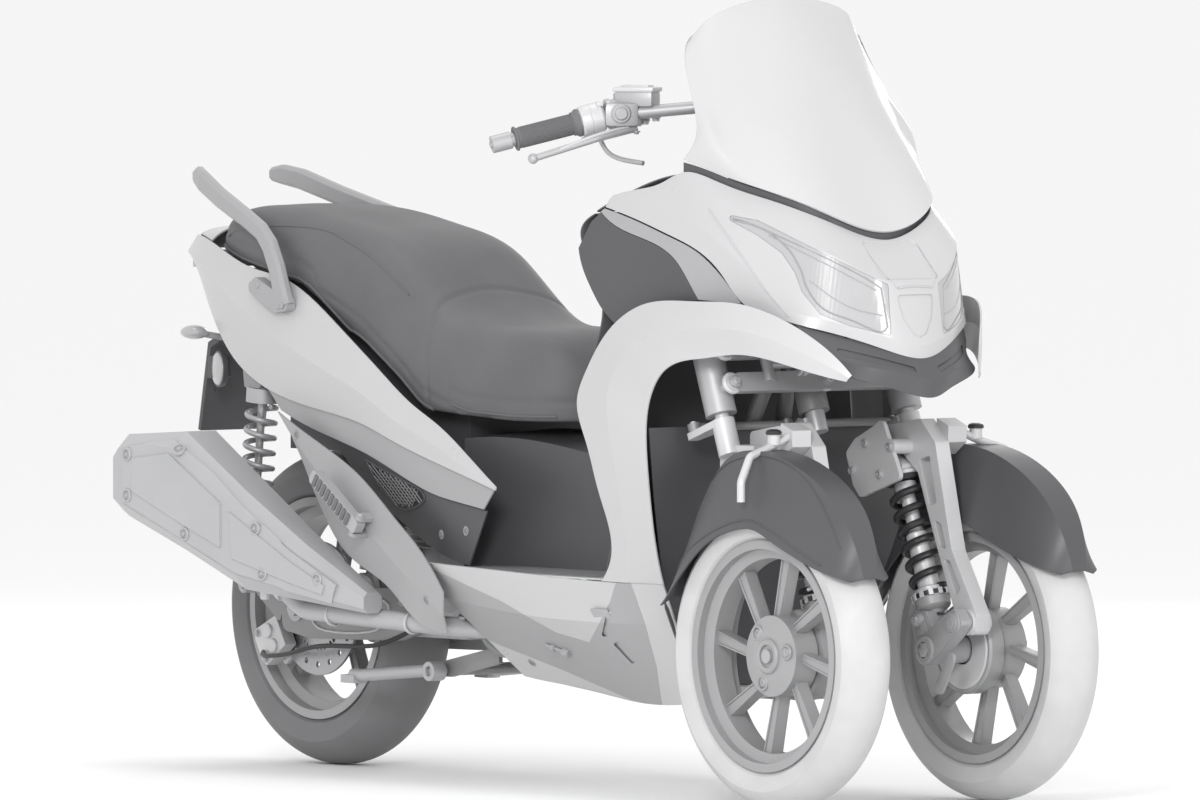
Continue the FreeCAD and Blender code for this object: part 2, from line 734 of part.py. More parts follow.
STRIP_TOP = [(1100, 252, 1012), (1200, 252, 990), (1275, 247, 968), (1340, 240, 945), (1400, 231, 903),
             (1440, 220, 858)]
STRIP_EDGE = [(1088, 253, 1003), (1180, 254, 966), (1250, 252, 948), (1293, 250, 926), (1325, 248, 893),
              (1352, 245, 859)]


def side_strip():
    """The light band between the nose's cheek and the dark leg-shield side."""
    rows = rows_of([(x - PANEL_GAP, y, z - PANEL_GAP) for x, y, z in STRIP_TOP],
                   [(x, y, z + PANEL_GAP / 2) for x, y, z in STRIP_EDGE])
    return skin(rows, wall, Vector(0, 1, 0))


def leg_shield_side():
    rows = rows_of(
        STRIP_EDGE,
        [(1062, 254, 986), (1075, 254, 950), (1105, 253, 912), (1140, 252, 885), (1200, 250, 868), (1262, 248, 852)],
        [(1025, 253, 940), (1040, 253, 900), (1062, 252, 868), (1085, 252, 842), (1120, 250, 815), (1150, 250, 800)])
    return skin(rows, wall, Vector(0, 1, 0))


def side_fairing():
    """The arch behind and over a front wheel, from the floor up and forward to its tip."""
    back = [(1101, 262, 372), (1144, 276, 458), (1122, 284, 527), (1092, 289, 613), (1069, 290, 681),
            (1085, 284, 730), (1135, 278, 797), (1229, 275, 848), (1384, 272, 859), (1483, 252, 856),
            (1578, 190, 809), (1640, 138, 738)]
    ridge = [(1170, 266, 372), (1195, 282, 458), (1190, 292, 527), (1175, 298, 613), (1165, 300, 681),
             (1175, 296, 725), (1210, 292, 768), (1280, 288, 800), (1388, 280, 812), (1475, 258, 812),
             (1570, 198, 778), (1637, 142, 733)]
    front = [(1268, 256, 372), (1272, 280, 458), (1270, 288, 527), (1266, 292, 601), (1266, 290, 667),
             (1280, 288, 708), (1304, 284, 738), (1345, 276, 756), (1392, 266, 762), (1465, 246, 770),
             (1559, 200, 750), (1632, 144, 727)]
    return skin(rows_of(back, ridge, front), wall, Vector(0, 1, 0))


SILL_EDGE = [(120, 384), (178, 369), (286, 325), (380, 275), (437, 262), (473, 338), (485, 380), (505, 380),
             (532, 302), (552, 225), (562, 150), (508, 160), (385, 208), (216, 266), (120, 282)]
SLOTS = [[(458, 276), (466, 318), (474, 320), (466, 274)], [(478, 262), (486, 268), (516, 232), (510, 228)]]


def facing_block(outline_points, bend=0.0):
    """What an outline seen from the right front corner takes out of the right flank."""
    facing = Vector(0.7965, -0.6046, 0)
    along = Vector(0.6046, 0.7965, 0)
    return plate([along * u + Vector(0, 0, z) + facing * 560 for u, z in outline_points], facing * 700, bend)


def lower_fairing():
    """The flank under the foot board, from the sill behind it forward to the belly."""
    rows = rows_of(
        [(560, 238, 384), (611, 258, 384), (850, 266, 378), (1101, 262, 371), (1170, 266, 371), (1268, 256, 371)],
        [(612, 232, 325), (660, 236, 320), (850, 246, 305), (1101, 248, 300), (1170, 240, 300), (1250, 214, 300)],
        [(700, 124, 188), (760, 124, 182), (850, 122, 175), (1000, 122, 158), (1110, 138, 156), (1225, 160, 164)])
    return skin(rows, wall, Vector(0, 1, -0.3))


CHIN_SLOT = [(24, 741), (24, 750), (138, 784), (130, 769)]


def chin():
    """The dark wedge under the nose, with a shallow slot set into each half."""
    rows = []
    left = [
        [(1538, 180, 824), (1586, 131, 804), (1634, 60, 783), (1646, 0, 773)],
        [(1558, 172, 790), (1606, 134, 762), (1668, 60, 742), (1684, 0, 732)],
        [(1520, 160, 768), (1630, 129, 733), (1660, 58, 712), (1680, 0, 698)]]
    for row in left:
        rows.append([at(x, -w, z) for x, w, z in row] + [at(x, w, z) for x, w, z in reversed(row[:-1])])
    front = Vector(1, 0, 0)
    slot = plate([at(1560, w, z) for w, z in CHIN_SLOT], Vector(150, 0, 0), 3)
    slots = [slot, mirrored(slot)]
    backing = skin(set_in(rows, RECESS, front), wall, front, halved=True)
    return less(skin(rows, wall, front, halved=True), *slots).fuse([backing.common(slot) for slot in slots])


def foot_board():
    floor = float(size("floor_height"))
    board = plate([at(600, 112, floor), at(1100, 112, floor), at(1104, 258, floor), at(850, 262, floor),
                   at(612, 252, floor), at(572, 232, floor)], Vector(0, 0, -wall), 12)
    return board


def rear_side_panel():
    """The white flank below the seat, from the tail to its pointed front tip."""
    rows = rows_of(
        [(-300, 92, 926), (-180, 138, 910), (-40, 166, 876), (72, 176, 859), (251, 186, 777),
         (366, 192, 712), (470, 198, 655), (560, 206, 620), (660, 218, 572), (761, 230, 520)],
        [(-322, 98, 896), (-200, 150, 868), (-60, 184, 812), (60, 200, 765), (230, 208, 705),
         (350, 212, 665), (455, 218, 622), (560, 224, 590), (660, 228, 552), (761, 233, 517)],
        [(-290, 98, 868), (-221, 128, 809), (-131, 148, 726), (-9, 166, 670), (180, 186, 635),
         (327, 200, 615), (440, 214, 588), (560, 224, 560), (660, 230, 538), (761, 233, 514)])
    return skin(rows, wall, Vector(0, 1, 0))


def flank_strip():
    """The grey band that runs under the white flank."""
    rows = rows_of(
        [(-9, 161, 674), (180, 181, 640), (327, 195, 620), (440, 209, 593), (560, 219, 565), (660, 225, 543),
         (755, 228, 519)],
        [(40, 160, 628), (200, 180, 590), (340, 192, 560), (460, 204, 525), (560, 214, 500), (650, 222, 488),
         (720, 228, 480)])
    return skin(rows, wall, Vector(0, 1, 0))


def tail_top():
    """The panel that closes the tail behind the seat."""
    rows = both_sides(
        [(-322, 0, 902), (-318, 50, 902), (-310, 88, 900)],
        [(-300, 0, 940), (-298, 50, 938), (-292, 90, 928)],
        [(-245, 0, 944), (-240, 60, 940), (-225, 116, 918)])
    return skin(rows, wall, Vector(-0.2, 0, 1))


# The seat's stations: x, crown height, half-width, height of its base
SEAT_TOP = [(-240, 950), (-200, 966), (-100, 986), (0, 985), (100, 974), (200, 958), (290, 941), (350, 917),
            (410, 872), (460, 832), (510, 803), (570, 790), (640, 789), (700, 790), (760, 783), (816, 770)]
SEAT_HALF = [(-240, 96), (-100, 138), (0, 152), (100, 160), (290, 166), (400, 168), (470, 174), (600, 172),
             (700, 152), (816, 122)]
SEAT_BASE = [(-240, 908), (-100, 880), (100, 850), (290, 780), (400, 716), (470, 672), (600, 636), (700, 630),
             (820, 630)]
SEAT_NOSE, SEAT_NOSE_LENGTH, SEAT_TAIL, SEAT_TAIL_LENGTH = 816, 84, -240, 70
SEAT_STATIONS = (-238, -228, -205, -170, -120, -60, 20, 110, 200, 280, 345, 400, 450, 500, 560, 630, 690, 732,
                 762, 786, 802, 812)
TUB_BACK, TUB_FRONT, TUB_FLOOR, TUB_HALF = 20, 545, 560, 125
SKIRT_DROP, SKIRT_FROM, SKIRT_TO, SKIRT_HALF = 28, 150, 550, 132


def height_on(line, x):
    """The height of a line of points at x, eased between its points."""
    for (x0, z0), (x1, z1) in zip(line, line[1:]):
        if x0 <= x <= x1:
            return z0 + (z1 - z0) * (x - x0) / (x1 - x0)
    return line[-1][1]


def smooth_on(line, x, reach=22):
    """The same height, averaged over a short run so that the corners of the line are soft."""
    low, high = line[0][0], line[-1][0]
    taps = [min(max(x + reach * step / 2, low), high) for step in (-2, -1, 0, 1, 2)]
    return sum(height_on(line, tap) for tap in taps) / len(taps)


def seat_section(x):
    """A crowned cushion section, flat below, that rounds off towards the nose and the tail."""
    top, half, foot = smooth_on(SEAT_TOP, x), smooth_on(SEAT_HALF, x), height_on(SEAT_BASE, x)
    into_nose = max(0, (x - (SEAT_NOSE - SEAT_NOSE_LENGTH)) / SEAT_NOSE_LENGTH)
    into_tail = max(0, (SEAT_TAIL + SEAT_TAIL_LENGTH - x) / SEAT_TAIL_LENGTH)
    round_off = math.sqrt(max(0.02, 1 - max(into_nose, into_tail) ** 2))
    half *= 0.35 + 0.65 * round_off
    top = foot + (top - foot) * (0.5 + 0.5 * round_off)
    drop = top - foot
    base = foot - 30
    half_points = [(half - 3, base), (half + 3, foot + drop * 0.3), (half * 0.965, foot + drop * 0.66),
                   (half * 0.82, foot + drop * 0.9), (half * 0.44, top - drop * 0.015), (0, top)]
    left = [at(x, w, z) for w, z in half_points]
    right = [Vector(p.x, -p.y, p.z) for p in reversed(left[:-1])]
    crown = Part.BSplineCurve()
    crown.interpolate(left + right)
    bottom = Part.LineSegment(right[-1], left[0])
    return Part.Wire([crown.toShape(), bottom.toShape()])


def seat():
    """The long seat with its step between rider and passenger, flat below, with a skirt on each side."""
    cushion = loft([seat_section(x) for x in SEAT_STATIONS])

    def below(line, y, wide):
        edge = [at(x, y, z) for x, z in line]
        ends = [at(860, y, line[-1][1]), at(860, y, 500), at(-300, y, 500), at(-300, y, line[0][1])]
        return plate(edge + ends, Vector(0, wide, 0))

    skirt = [(x, z - (SKIRT_DROP if SKIRT_FROM < x < SKIRT_TO else 0)) for x, z in SEAT_BASE]
    return cushion.cut(below(SEAT_BASE, -SKIRT_HALF, 2 * SKIRT_HALF)).cut(below(skirt, -260, 520))


def seat_base_height(x):
    return height_on(SEAT_BASE, x)


def seat_tub():
    """The storage tub under the seat, open at its top, whose rim follows the seat's base."""
    thick = float(size("tub_wall"))
    rim_gap = seat_gap + 1.5

    def profile(inset, lift):
        stations = [TUB_BACK + inset] + [s[0] for s in SEAT_BASE if TUB_BACK < s[0] < TUB_FRONT] + [TUB_FRONT - inset]
        upper = [at(x, inset - TUB_HALF, seat_base_height(x) - rim_gap + lift) for x in stations]
        return [at(TUB_BACK + inset, inset - TUB_HALF, TUB_FLOOR + inset), *upper,
                at(TUB_FRONT - inset, inset - TUB_HALF, TUB_FLOOR + inset)]

    outer = plate(profile(0, 0), Vector(0, 2 * TUB_HALF, 0))
    inner = plate(profile(thick, 30), Vector(0, 2 * (TUB_HALF - thick), 0))
    return outer.cut(inner)


def seat_hinge_point():
    return at(SEAT_BASE[-2][0] + 106, 0, SEAT_BASE[-1][1] - 12)


def seat_with_lug():
    """The seat and the hinge knuckle under its nose."""
    centre, half, knuckle = seat_hinge_point(), 30, 8
    barrel_part = barrel(centre - Vector(0, half, 0), centre + Vector(0, half, 0), knuckle)
    arm = Part.makeBox(34, 2 * half, 14, centre + Vector(-34, -half, -2))
    pin = barrel(centre - Vector(0, half + 22, 0), centre + Vector(0, half + 22, 0), 4)
    cushion = seat()
    return cushion.fuse([barrel_part.fuse([arm.cut(cushion), pin])]).removeSplitter()


def bodywork():
    cowl = nose_cowl()
    fairing = side_fairing()
    flank = mirrored(less(lower_fairing(), fairing))
    sill_block = facing_block(SILL_EDGE)
    lower = mirrored(flank.cut(sill_block))
    sill = less(flank.common(sill_block), *[facing_block(slot, 3) for slot in SLOTS])
    side = less(leg_shield_side(), fairing)
    strip = less(side_strip(), fairing)
    rear_side = rear_side_panel()
    node("windshield", windshield())
    lamp = headlamp()
    node("nose_cowl", cowl)
    node("headlamps", Part.Compound([lamp, mirrored(lamp)]))
    node("screen_mount", screen_mount())
    node("chin", less(chin(), cowl))
    node("tail_top", less(tail_top(), rear_side, mirrored(rear_side)))
    two_sided("side_strips", strip)
    two_sided("leg_shields", side)
    two_sided("side_fairings", fairing)
    two_sided("lower_fairings", lower)
    two_sided("sill_strips", sill)
    two_sided("rear_side_panels", rear_side)
    two_sided("flank_strips", less(flank_strip(), rear_side))
    node("seat", seat_with_lug())
    node("seat_tub", seat_tub())
    return {"cowl": cowl, "fairing": fairing, "lower": lower, "sill": mirrored(sill), "side": side, "strip": strip, "rear": rear_side}


body = bodywork()


def on_both(shape):
    return [shape, mirrored(shape)]


# Rider's side of the body

def inner_shield():
    """The wall in front of the rider's legs, from the floor to the dash."""
    rows = both_sides(
        [(1112, 0, 380), (1128, 150, 380), (1106, 254, 380)],
        [(1122, 0, 458), (1158, 150, 458), (1147, 272, 458)],
        [(1116, 0, 613), (1140, 150, 613), (1097, 284, 613)],
        [(1104, 0, 725), (1112, 150, 728), (1088, 279, 730)],
        [(1088, 0, 850), (1090, 150, 850), (1083, 247, 850)],
        [(1072, 0, 945), (1062, 150, 945), (1030, 248, 945)],
        [(1084, 0, 1006), (1080, 150, 1004), (1066, 249, 1000)])
    return skin(rows, wall, Vector(-1, 0, 0), smooth=True)


def dash():
    """The top of the front body, behind the windshield, with a slot for the steering stem."""
    rows = both_sides(
        [(1080, 0, 1010), (1078, 150, 1008), (1068, 246, 1005)],
        [(1180, 0, 1022), (1175, 150, 1030), (1150, 236, 1040)],
        [(1360, 0, 1016), (1340, 120, 1040), (1285, 205, 1072)],
        [(1500, 0, 986), (1480, 80, 1000), (1400, 160, 1030)])
    top = skin(rows, wall, Vector(0, 0, 1), smooth=True)
    slot = barrel(on_king(940, 0), on_king(1100, 0), stem_radius + 14)
    return top.cut(slot)


def tunnel():
    floor = float(size("floor_height"))
    foot = [(585, 168, floor), (760, 120, floor), (950, 111, floor), (1110, 111, floor)]
    shoulder = [(575, 160, 596), (760, 112, 592), (950, 84, 560), (1110, 80, 545)]
    top = [(570, 0, 606), (760, 0, 608), (950, 0, 582), (1112, 0, 562)]
    rows = rows_of(foot, shoulder, top)
    rows += [[Vector(p.x, -p.y, p.z) for p in row] for row in (rows[1], rows[0])]
    return skin(rows, wall, Vector(0, 0, 1))


def step_panel():
    """The dark side below the grey band, behind the foot board."""
    rows = rows_of(
        [(200, 172, 588), (340, 184, 557), (460, 196, 522), (560, 206, 497), (650, 214, 485), (720, 220, 477)],
        [(300, 150, 480), (400, 158, 440), (480, 172, 412), (540, 190, 398), (600, 204, 388), (660, 214, 380)])
    return skin(rows, wall, Vector(0, 1, 0))


def peg_panel():
    """The light cover that carries the folded passenger peg."""
    rows = rows_of(
        [(86, 202, 628), (230, 214, 575), (353, 225, 527), (480, 240, 455), (594, 263, 395), (650, 263, 335)],
        [(130, 206, 590), (240, 220, 520), (330, 230, 470), (450, 242, 400), (560, 260, 345), (648, 262, 295)],
        [(160, 200, 540), (230, 206, 450), (300, 214, 392), (440, 228, 338), (540, 242, 285), (640, 246, 262)])
    return skin(rows, wall, Vector(0, 1, 0))


def belly():
    """The tray that closes the underside between the two flanks."""
    rows = both_sides(
        [(704, 0, 182), (704, 122, 188)],
        [(850, 0, 168), (850, 121, 174)],
        [(1000, 0, 153), (1000, 121, 159)],
        [(1110, 0, 160), (1110, 137, 164)],
        [(1222, 0, 190), (1222, 158, 186)])
    return skin(rows, wall, Vector(0, 0, -1))


def arch_liner():
    """The dark wall behind the front wheels."""
    rows = both_sides(
        [(1222, 0, 194), (1222, 156, 190)],
        [(1252, 0, 330), (1254, 240, 330)],
        [(1256, 0, 520), (1262, 270, 520)],
        [(1260, 0, 640), (1260, 280, 640)])
    return skin(rows, wall, Vector(1, 0, 0))


def tail_tray():
    rows = both_sides(
        [(-292, 0, 862), (-290, 94, 864)],
        [(-222, 0, 800), (-220, 124, 806)],
        [(-130, 0, 730), (-130, 144, 727)])
    return skin(rows, wall, Vector(-0.6, 0, -1))


def tail_lamp():
    outer = [at(-320, -88, 868), at(-322, -50, 868), at(-324, 0, 868), at(-322, 50, 868), at(-320, 88, 868),
             at(-296, 90, 868), at(-296, -90, 868)]
    return plate(outer, Vector(0, 0, 30))


def plate_holder():
    """The rear mudguard and the bracket for a number plate."""
    side = [at(-170, -70, 800), at(-200, -70, 800), at(-262, -70, 752), at(-300, -70, 735), at(-330, -70, 580),
            at(-322, -70, 578), at(-292, -70, 726), at(-256, -70, 742)]
    solid = plate(side, Vector(0, 140, 0))
    spacing = float(size("plate_hole_spacing"))
    face = at(-318, 0, 650)
    for sign in (-1, 1):
        start = face + Vector(-30, sign * spacing / 2, 0)
        solid = solid.cut(Part.makeCylinder(float(size("plate_hole_radius")), 60, start, Vector(1, 0, 0)))
    return solid


def indicator():
    """A turn signal: a lens like a grain of wheat on a short stalk."""
    centre = at(-262, 128, 755)
    lens = Part.makeSphere(1)
    stretched = lens.transformGeometry(FreeCAD.Matrix(26, 0, 0, centre.x, 0, 24, 0, centre.y, 0, 0, 13, centre.z))
    stalk = barrel(at(-258, 70, 745), centre, 6)
    return stretched.fuse(stalk)


RAIL = [(-312, 84, 1029, 12), (-296, 92, 1029, 17), (-262, 108, 1021, 18), (-180, 130, 994, 17), (-60, 159, 960, 16),
        (8, 178, 940, 16), (46, 188, 916, 17), (76, 195, 878, 17), (94, 199, 842, 18), (107, 199, 812, 18)]
RAIL_HALF_THICK = 11


def grab_rail():
    """A flat passenger handle that stands up from the tail, ends free at the back and has a foot on the flank."""
    sections = []
    for i, (x, y, z, tall) in enumerate(RAIL):
        before, after = RAIL[max(i - 1, 0)], RAIL[min(i + 1, len(RAIL) - 1)]
        way = Vector(after[0] - before[0], 0, after[2] - before[2])
        way.normalize()
        over, out = Vector(-way.z, 0, way.x), Vector(0, 1, 0)
        chamfer = 6
        corners = [(tall, chamfer - RAIL_HALF_THICK), (tall, RAIL_HALF_THICK - chamfer),
                   (tall - chamfer, RAIL_HALF_THICK), (chamfer - tall, RAIL_HALF_THICK),
                   (-tall, RAIL_HALF_THICK - chamfer), (-tall, chamfer - RAIL_HALF_THICK),
                   (chamfer - tall, -RAIL_HALF_THICK), (tall - chamfer, -RAIL_HALF_THICK)]
        places = [at(x, y, z) + over * u + out * v for u, v in corners]
        sections.append(Part.makePolygon(places + [places[0]]))
    foot = plate([at(122, 188, 806), at(118, 188, 826), at(28, 188, 862), at(8, 188, 850), at(10, 188, 836), at(84, 188, 800)],
                 Vector(0, 20, 0), 6)
    return loft(sections, True).fuse(foot).removeSplitter()


# Machinery

def frame():
    """The underbone: head tube, two down tubes, floor tubes and the rails that carry seat and tail."""
    tube_radius = float(size("frame_tube_radius"))
    head = barrel(on_king(STEER_ARM_HEIGHT + 14, 0), on_king(900, 0), float(size("column_radius")))
    side_tube = rod([at(-240, 58, 852), at(-40, 142, 762), at(545, 142, 549.7), at(585, 118, 232),
                     at(1150, 92, 216), at(1190, 80, 330), at(1226, 34, 640), at(1290, 8, 800)],
                    tube_radius - 3, 60)
    lug = plate([at(-76, 146, 664), at(-28, 146, 664), at(-20, 146, 765), at(-90, 146, 765)],
                Vector(0, 9, 0), 6)
    one_side = side_tube.fuse(lug)
    cross = barrel(at(443, -128, 186), at(443, 128, 186), 9)
    riser = plate([at(425, 96, 176), at(461, 96, 176), at(600, 96, 205), at(600, 96, 235), at(425, 96, 200)],
                  Vector(0, 8, 0))
    braces = [barrel(at(x, -142, z), at(x, 142, z), 10) for x, z in ((-40, 762), (545, 549.7))]
    whole = head.fuse([one_side, mirrored(one_side), cross, riser, mirrored(riser)])
    bore = barrel(on_king(600, 0), on_king(1000, 0), stem_radius + pin_gap)
    whole = whole.cut(bore).removeSplitter()
    return Part.Compound([whole] + [less(brace, whole) for brace in braces])


def lean_arms():
    """The cross bars that let the machine lean, and the side columns that hold the king pins."""
    radius = float(size("column_radius"))
    column = tube(on_king(STEER_ARM_HEIGHT + 14), on_king(king_z + 90), radius, stem_radius - 5 + pin_gap)
    bars = []
    for height in (king_z + 12, king_z + 68):
        across = [on_king(height, king_y) + ahead * (radius + 12), on_king(height, -king_y) + ahead * (radius + 12)]
        along = steer_axis * 17
        bar = plate([across[0] - along, across[0] + along, across[1] + along, across[1] - along],
                    ahead * 14, 16)
        pins = [barrel(on_king(height, y) + ahead * (radius - 4), on_king(height, y) + ahead * (radius + 32), 9)
                for y in (king_y, 0, -king_y)]
        bars.append(bar.fuse(pins))
    lock = barrel(on_king(king_z + 40, 62) + ahead * (radius + 26), on_king(king_z + 40, -62) + ahead * (radius + 26), 20)
    lock_rod = barrel(on_king(king_z + 40, 128) + ahead * (radius + 26),
                      on_king(king_z + 40, -128) + ahead * (radius + 26), 8)
    ends = [barrel(on_king(king_z + 12, y) + ahead * (radius + 26), on_king(king_z + 68, y) + ahead * (radius + 26), 10)
            for y in (-122, 122)]
    bars.append(less(lock.fuse([lock_rod] + ends), *bars))
    return column, bars


def steering():
    """The stem with its clamp for the bar and the drop arm that pulls both tie rods."""
    stem = barrel(on_king(STEER_ARM_HEIGHT - 20, 0), on_king(1150, 0), stem_radius)
    collar = barrel(on_king(902, 0), on_king(914, 0), stem_radius + 8)
    clamp = plate([at(1128, -38, 1200), at(1172, -38, 1200), at(1204, -38, 1150), at(1150, -38, 1128)],
                  Vector(0, 76, 0), 8)
    root = on_king(STEER_ARM_HEIGHT, 0)
    left, along = steer_pin(0), steer_axis * ARM_HALF
    right = Vector(left.x, -left.y, left.z)
    arm = plate([root + Vector(0, 24, 0) - along, left + Vector(0, 12, 0) - ahead * 12 - along,
                 right - Vector(0, 12, 0) - ahead * 12 - along, root - Vector(0, 24, 0) - along], along * 2, 6)
    pins = [barrel(pin - along, pin + steer_axis * 24, STEER_STUD) for pin in (left, right)]
    return stem.fuse([collar, clamp, arm] + pins).removeSplitter()


BAR = [(944, 378, 1117), (1030, 197, 1166), (1150, 78, 1182)]


def handlebar():
    left = [at(*p) for p in BAR]
    right = [Vector(p.x, -p.y, p.z) for p in reversed(left)]
    bar = rod(left + right, size("bar_tube_radius"), 60)
    weight = barrel(left[0], along_bar(34), 15).fuse(barrel(along_bar(34), along_bar(40), 12))
    return bar.fuse([weight, mirrored(weight)])


def along_bar(distance):
    """A point on the straight outer run of the left bar, measured from its end."""
    start, bend = at(*BAR[0]), at(*BAR[1])
    way = bend - start
    way.normalize()
    return start + way * distance


def grip():
    bore = float(size("bar_tube_radius"))
    length = float(size("grip_length"))
    sleeve = tube(along_bar(43), along_bar(43 + length), size("grip_radius"), bore)
    collar = tube(along_bar(43 + length), along_bar(49 + length), float(size("grip_radius")) + 3, bore)
    return sleeve.fuse(collar)


def control():
    """A switch housing, a brake reservoir with the mirror's boss, and the lever's pivot."""
    bore = float(size("bar_tube_radius"))
    housing = tube(along_bar(157), along_bar(200), 21, bore)
    base = at(1056, 150, 1180)
    body = Part.makeBox(60, 42, 26, base + Vector(-30, -21, 4))
    body.rotate(base, Vector(0, 0, 1), -35)
    neck = plate([at(1020, 170, 1150), at(1050, 214, 1150), at(1078, 166, 1150), at(1048, 132, 1150)],
                 Vector(0, 0, 36), 6)
    boss = Part.makeCylinder(11, 34, at(1040, 176, 1170))
    thread = Part.makeCylinder(float(size("mirror_thread_radius")), 30, at(1040, 176, 1184))
    return housing.fuse([body, neck, boss]).cut(thread).removeSplitter()


def lever():
    tip = at(1006, 336, 1094)
    return rod([at(1066, 160, 1144), at(1056, 236, 1128), tip], 6, 40).fuse(Part.makeSphere(9, tip))


def tie_rod():
    """A rod from the drop arm's pin to the arm on the left king pin."""
    lift = steer_axis * (ARM_HALF + seat_gap)
    ends = [steer_pin(0) + lift, steer_pin(king_y) + lift]
    shaft = barrel(ends[0] + steer_axis * 8, ends[1] + steer_axis * 8, size("tie_rod_radius"))
    rings = [barrel(end, end + steer_axis * 14, 11) for end in ends]
    bores = [barrel(end - steer_axis * 9, end + steer_axis * 25, STEER_STUD + pin_gap) for end in ends]
    return less(shaft.fuse(rings), *bores)


def engine():
    """One plain block where the engine and its crankcase stand."""
    side = [at(292, -78, 330), at(300, -78, 480), at(400, -78, 490), at(530, -78, 400), at(545, -78, 270),
            at(470, -78, 240), at(310, -78, 240)]
    return plate(side, Vector(0, 156, 0), 20)


def drive_case():
    """The belt case on the left, which also carries the rear axle."""
    side = [at(-66, 84, 262), at(-40, 84, 212), at(60, 84, 206), at(430, 84, 212), at(500, 84, 262),
            at(500, 84, 332), at(430, 84, 378), at(40, 84, 352), at(-52, 84, 326)]
    return plate(side, Vector(0, 74, 0), 30)


def swingarm():
    """The plate on the right that runs from the crankcase to the rear axle."""
    side = [at(-48, -98, 300), at(-40, -98, 238), at(40, -98, 226), at(300, -98, 232), at(360, -98, 250),
            at(360, -98, 330), at(250, -98, 322), at(60, -98, 322), at(-20, -98, 332)]
    window = [at(70, -110, 256), at(230, -110, 256), at(250, -110, 296), at(70, -110, 300)]
    arm = plate(side, Vector(0, 14, 0), 18).cut(plate(window, Vector(0, 40, 0), 16))
    ear = plate([at(-120, -98, 300), at(-48, -98, 250), at(-30, -98, 320), at(-84, -98, 338)],
                Vector(0, 14, 0), 6)
    joint = Part.makeBox(60, 6, 60, at(290, -84, 256))
    return arm.fuse([ear, joint]).removeSplitter()


def rear_axle():
    return barrel(Vector(0, -92, float(rear_tyre_radius)), Vector(0, 90, float(rear_tyre_radius)),
                  size("rear_axle_radius"))


def rear_shock():
    foot, head = at(-92, 130, 316), at(-52, 130, 684)
    way = head - foot
    way.normalize()
    eyes = [barrel(Vector(p.x, 112, p.z), Vector(p.x, 146, p.z), 14) for p in (foot, head)]
    body = barrel(foot, head, 7).fuse([barrel(foot + way * 20, foot + way * 150, 19),
        barrel(foot + way * 118, foot + way * 126, 31), barrel(head - way * 46, head - way * 20, 29)] + eyes)
    return body.removeSplitter(), coil(foot + way * 126, head - way * 46, 25, float(size("rear_spring_wire")), 7)


def octagon(x, y, z, half, tall, lean=0.0):
    """A chamfered section across the silencer."""
    chamfer = 0.45 * min(half, tall)
    points = [(half, tall - chamfer), (half - chamfer, tall), (-half + chamfer, tall), (-half, tall - chamfer),
              (-half, -tall + chamfer), (-half + chamfer, -tall), (half - chamfer, -tall), (half, -tall + chamfer)]
    places = [at(x, y + w + lean * h, z + h) for w, h in points]
    return Part.makePolygon(places + [places[0]])


def silencer():
    return loft([octagon(-266, -258, 503, 44, 56), octagon(-240, -256, 508, 54, 72), octagon(-75, -250, 486, 58, 104),
                 octagon(95, -246, 405, 54, 86), octagon(250, -240, 354, 40, 50), octagon(403, -230, 306, 20, 18)], True)


def exhaust_pipe():
    return rod([at(60, -222, 360), at(170, -204, 284), at(560, -200, 272), at(652, -150, 268), at(652, -60, 268),
                at(538, -50, 268)], size("exhaust_pipe_radius"), 50)


def centre_stand():
    radius = float(size("stand_tube_radius"))
    leg = rod([at(443, 126, 186), at(420, 126, 186), at(262, 146, 172), at(232, 146, 172)], radius, 40)
    foot = plate([at(252, 132, 158), at(214, 132, 158), at(214, 132, 172), at(252, 132, 172)], Vector(0, 28, 0))
    eye = tube(at(443, 112, 186), at(443, 140, 186), 17, 9 + pin_gap)
    cross = barrel(at(380, -132, 184), at(380, 132, 184), 9)
    one = less(leg.fuse(foot), barrel(at(443, 60, 186), at(443, 170, 186), 16.9)).fuse(eye)
    return one.fuse([mirrored(one), cross]).removeSplitter()


PEG_START, PEG_END = (392, 256, 441), (269, 256, 525)


def peg_frame():
    """The peg's hinge point, the way it lies when folded and the direction of its hinge pin."""
    start = at(*PEG_START)
    way = at(*PEG_END) - start
    way.normalize()
    return start, way, Vector(way.z, 0, -way.x)


def peg():
    """A passenger peg, folded along its cover, with the pin that it swings out on."""
    start, way, over = peg_frame()
    corners = [start - way * 9 - over * 13, start + way * 150 - over * 13, start + way * 150 + over * 13,
               start - way * 9 + over * 13]
    bar = plate([p - Vector(0, 9, 0) for p in corners], Vector(0, 18, 0), 8)
    return bar.fuse(barrel(start - over * 21, start + over * 21, 4))


def peg_lugs():
    """The two ears on the cover that hold the peg's pin."""
    start, way, over = peg_frame()
    ears = []
    for side in (-1, 1):
        near, far = start + over * (side * 13.3), start + over * (side * 21)
        ear = barrel(near, far, 9)
        corners = [near - way * 9, near + way * 9, near + way * 9 - Vector(0, 34, 0), near - way * 9 - Vector(0, 34, 0)]
        foot = plate(corners, far - near)
        ears.append(ear.fuse(foot).cut(barrel(start - over * 30, start + over * 30, 4 + pin_gap)))
    return ears


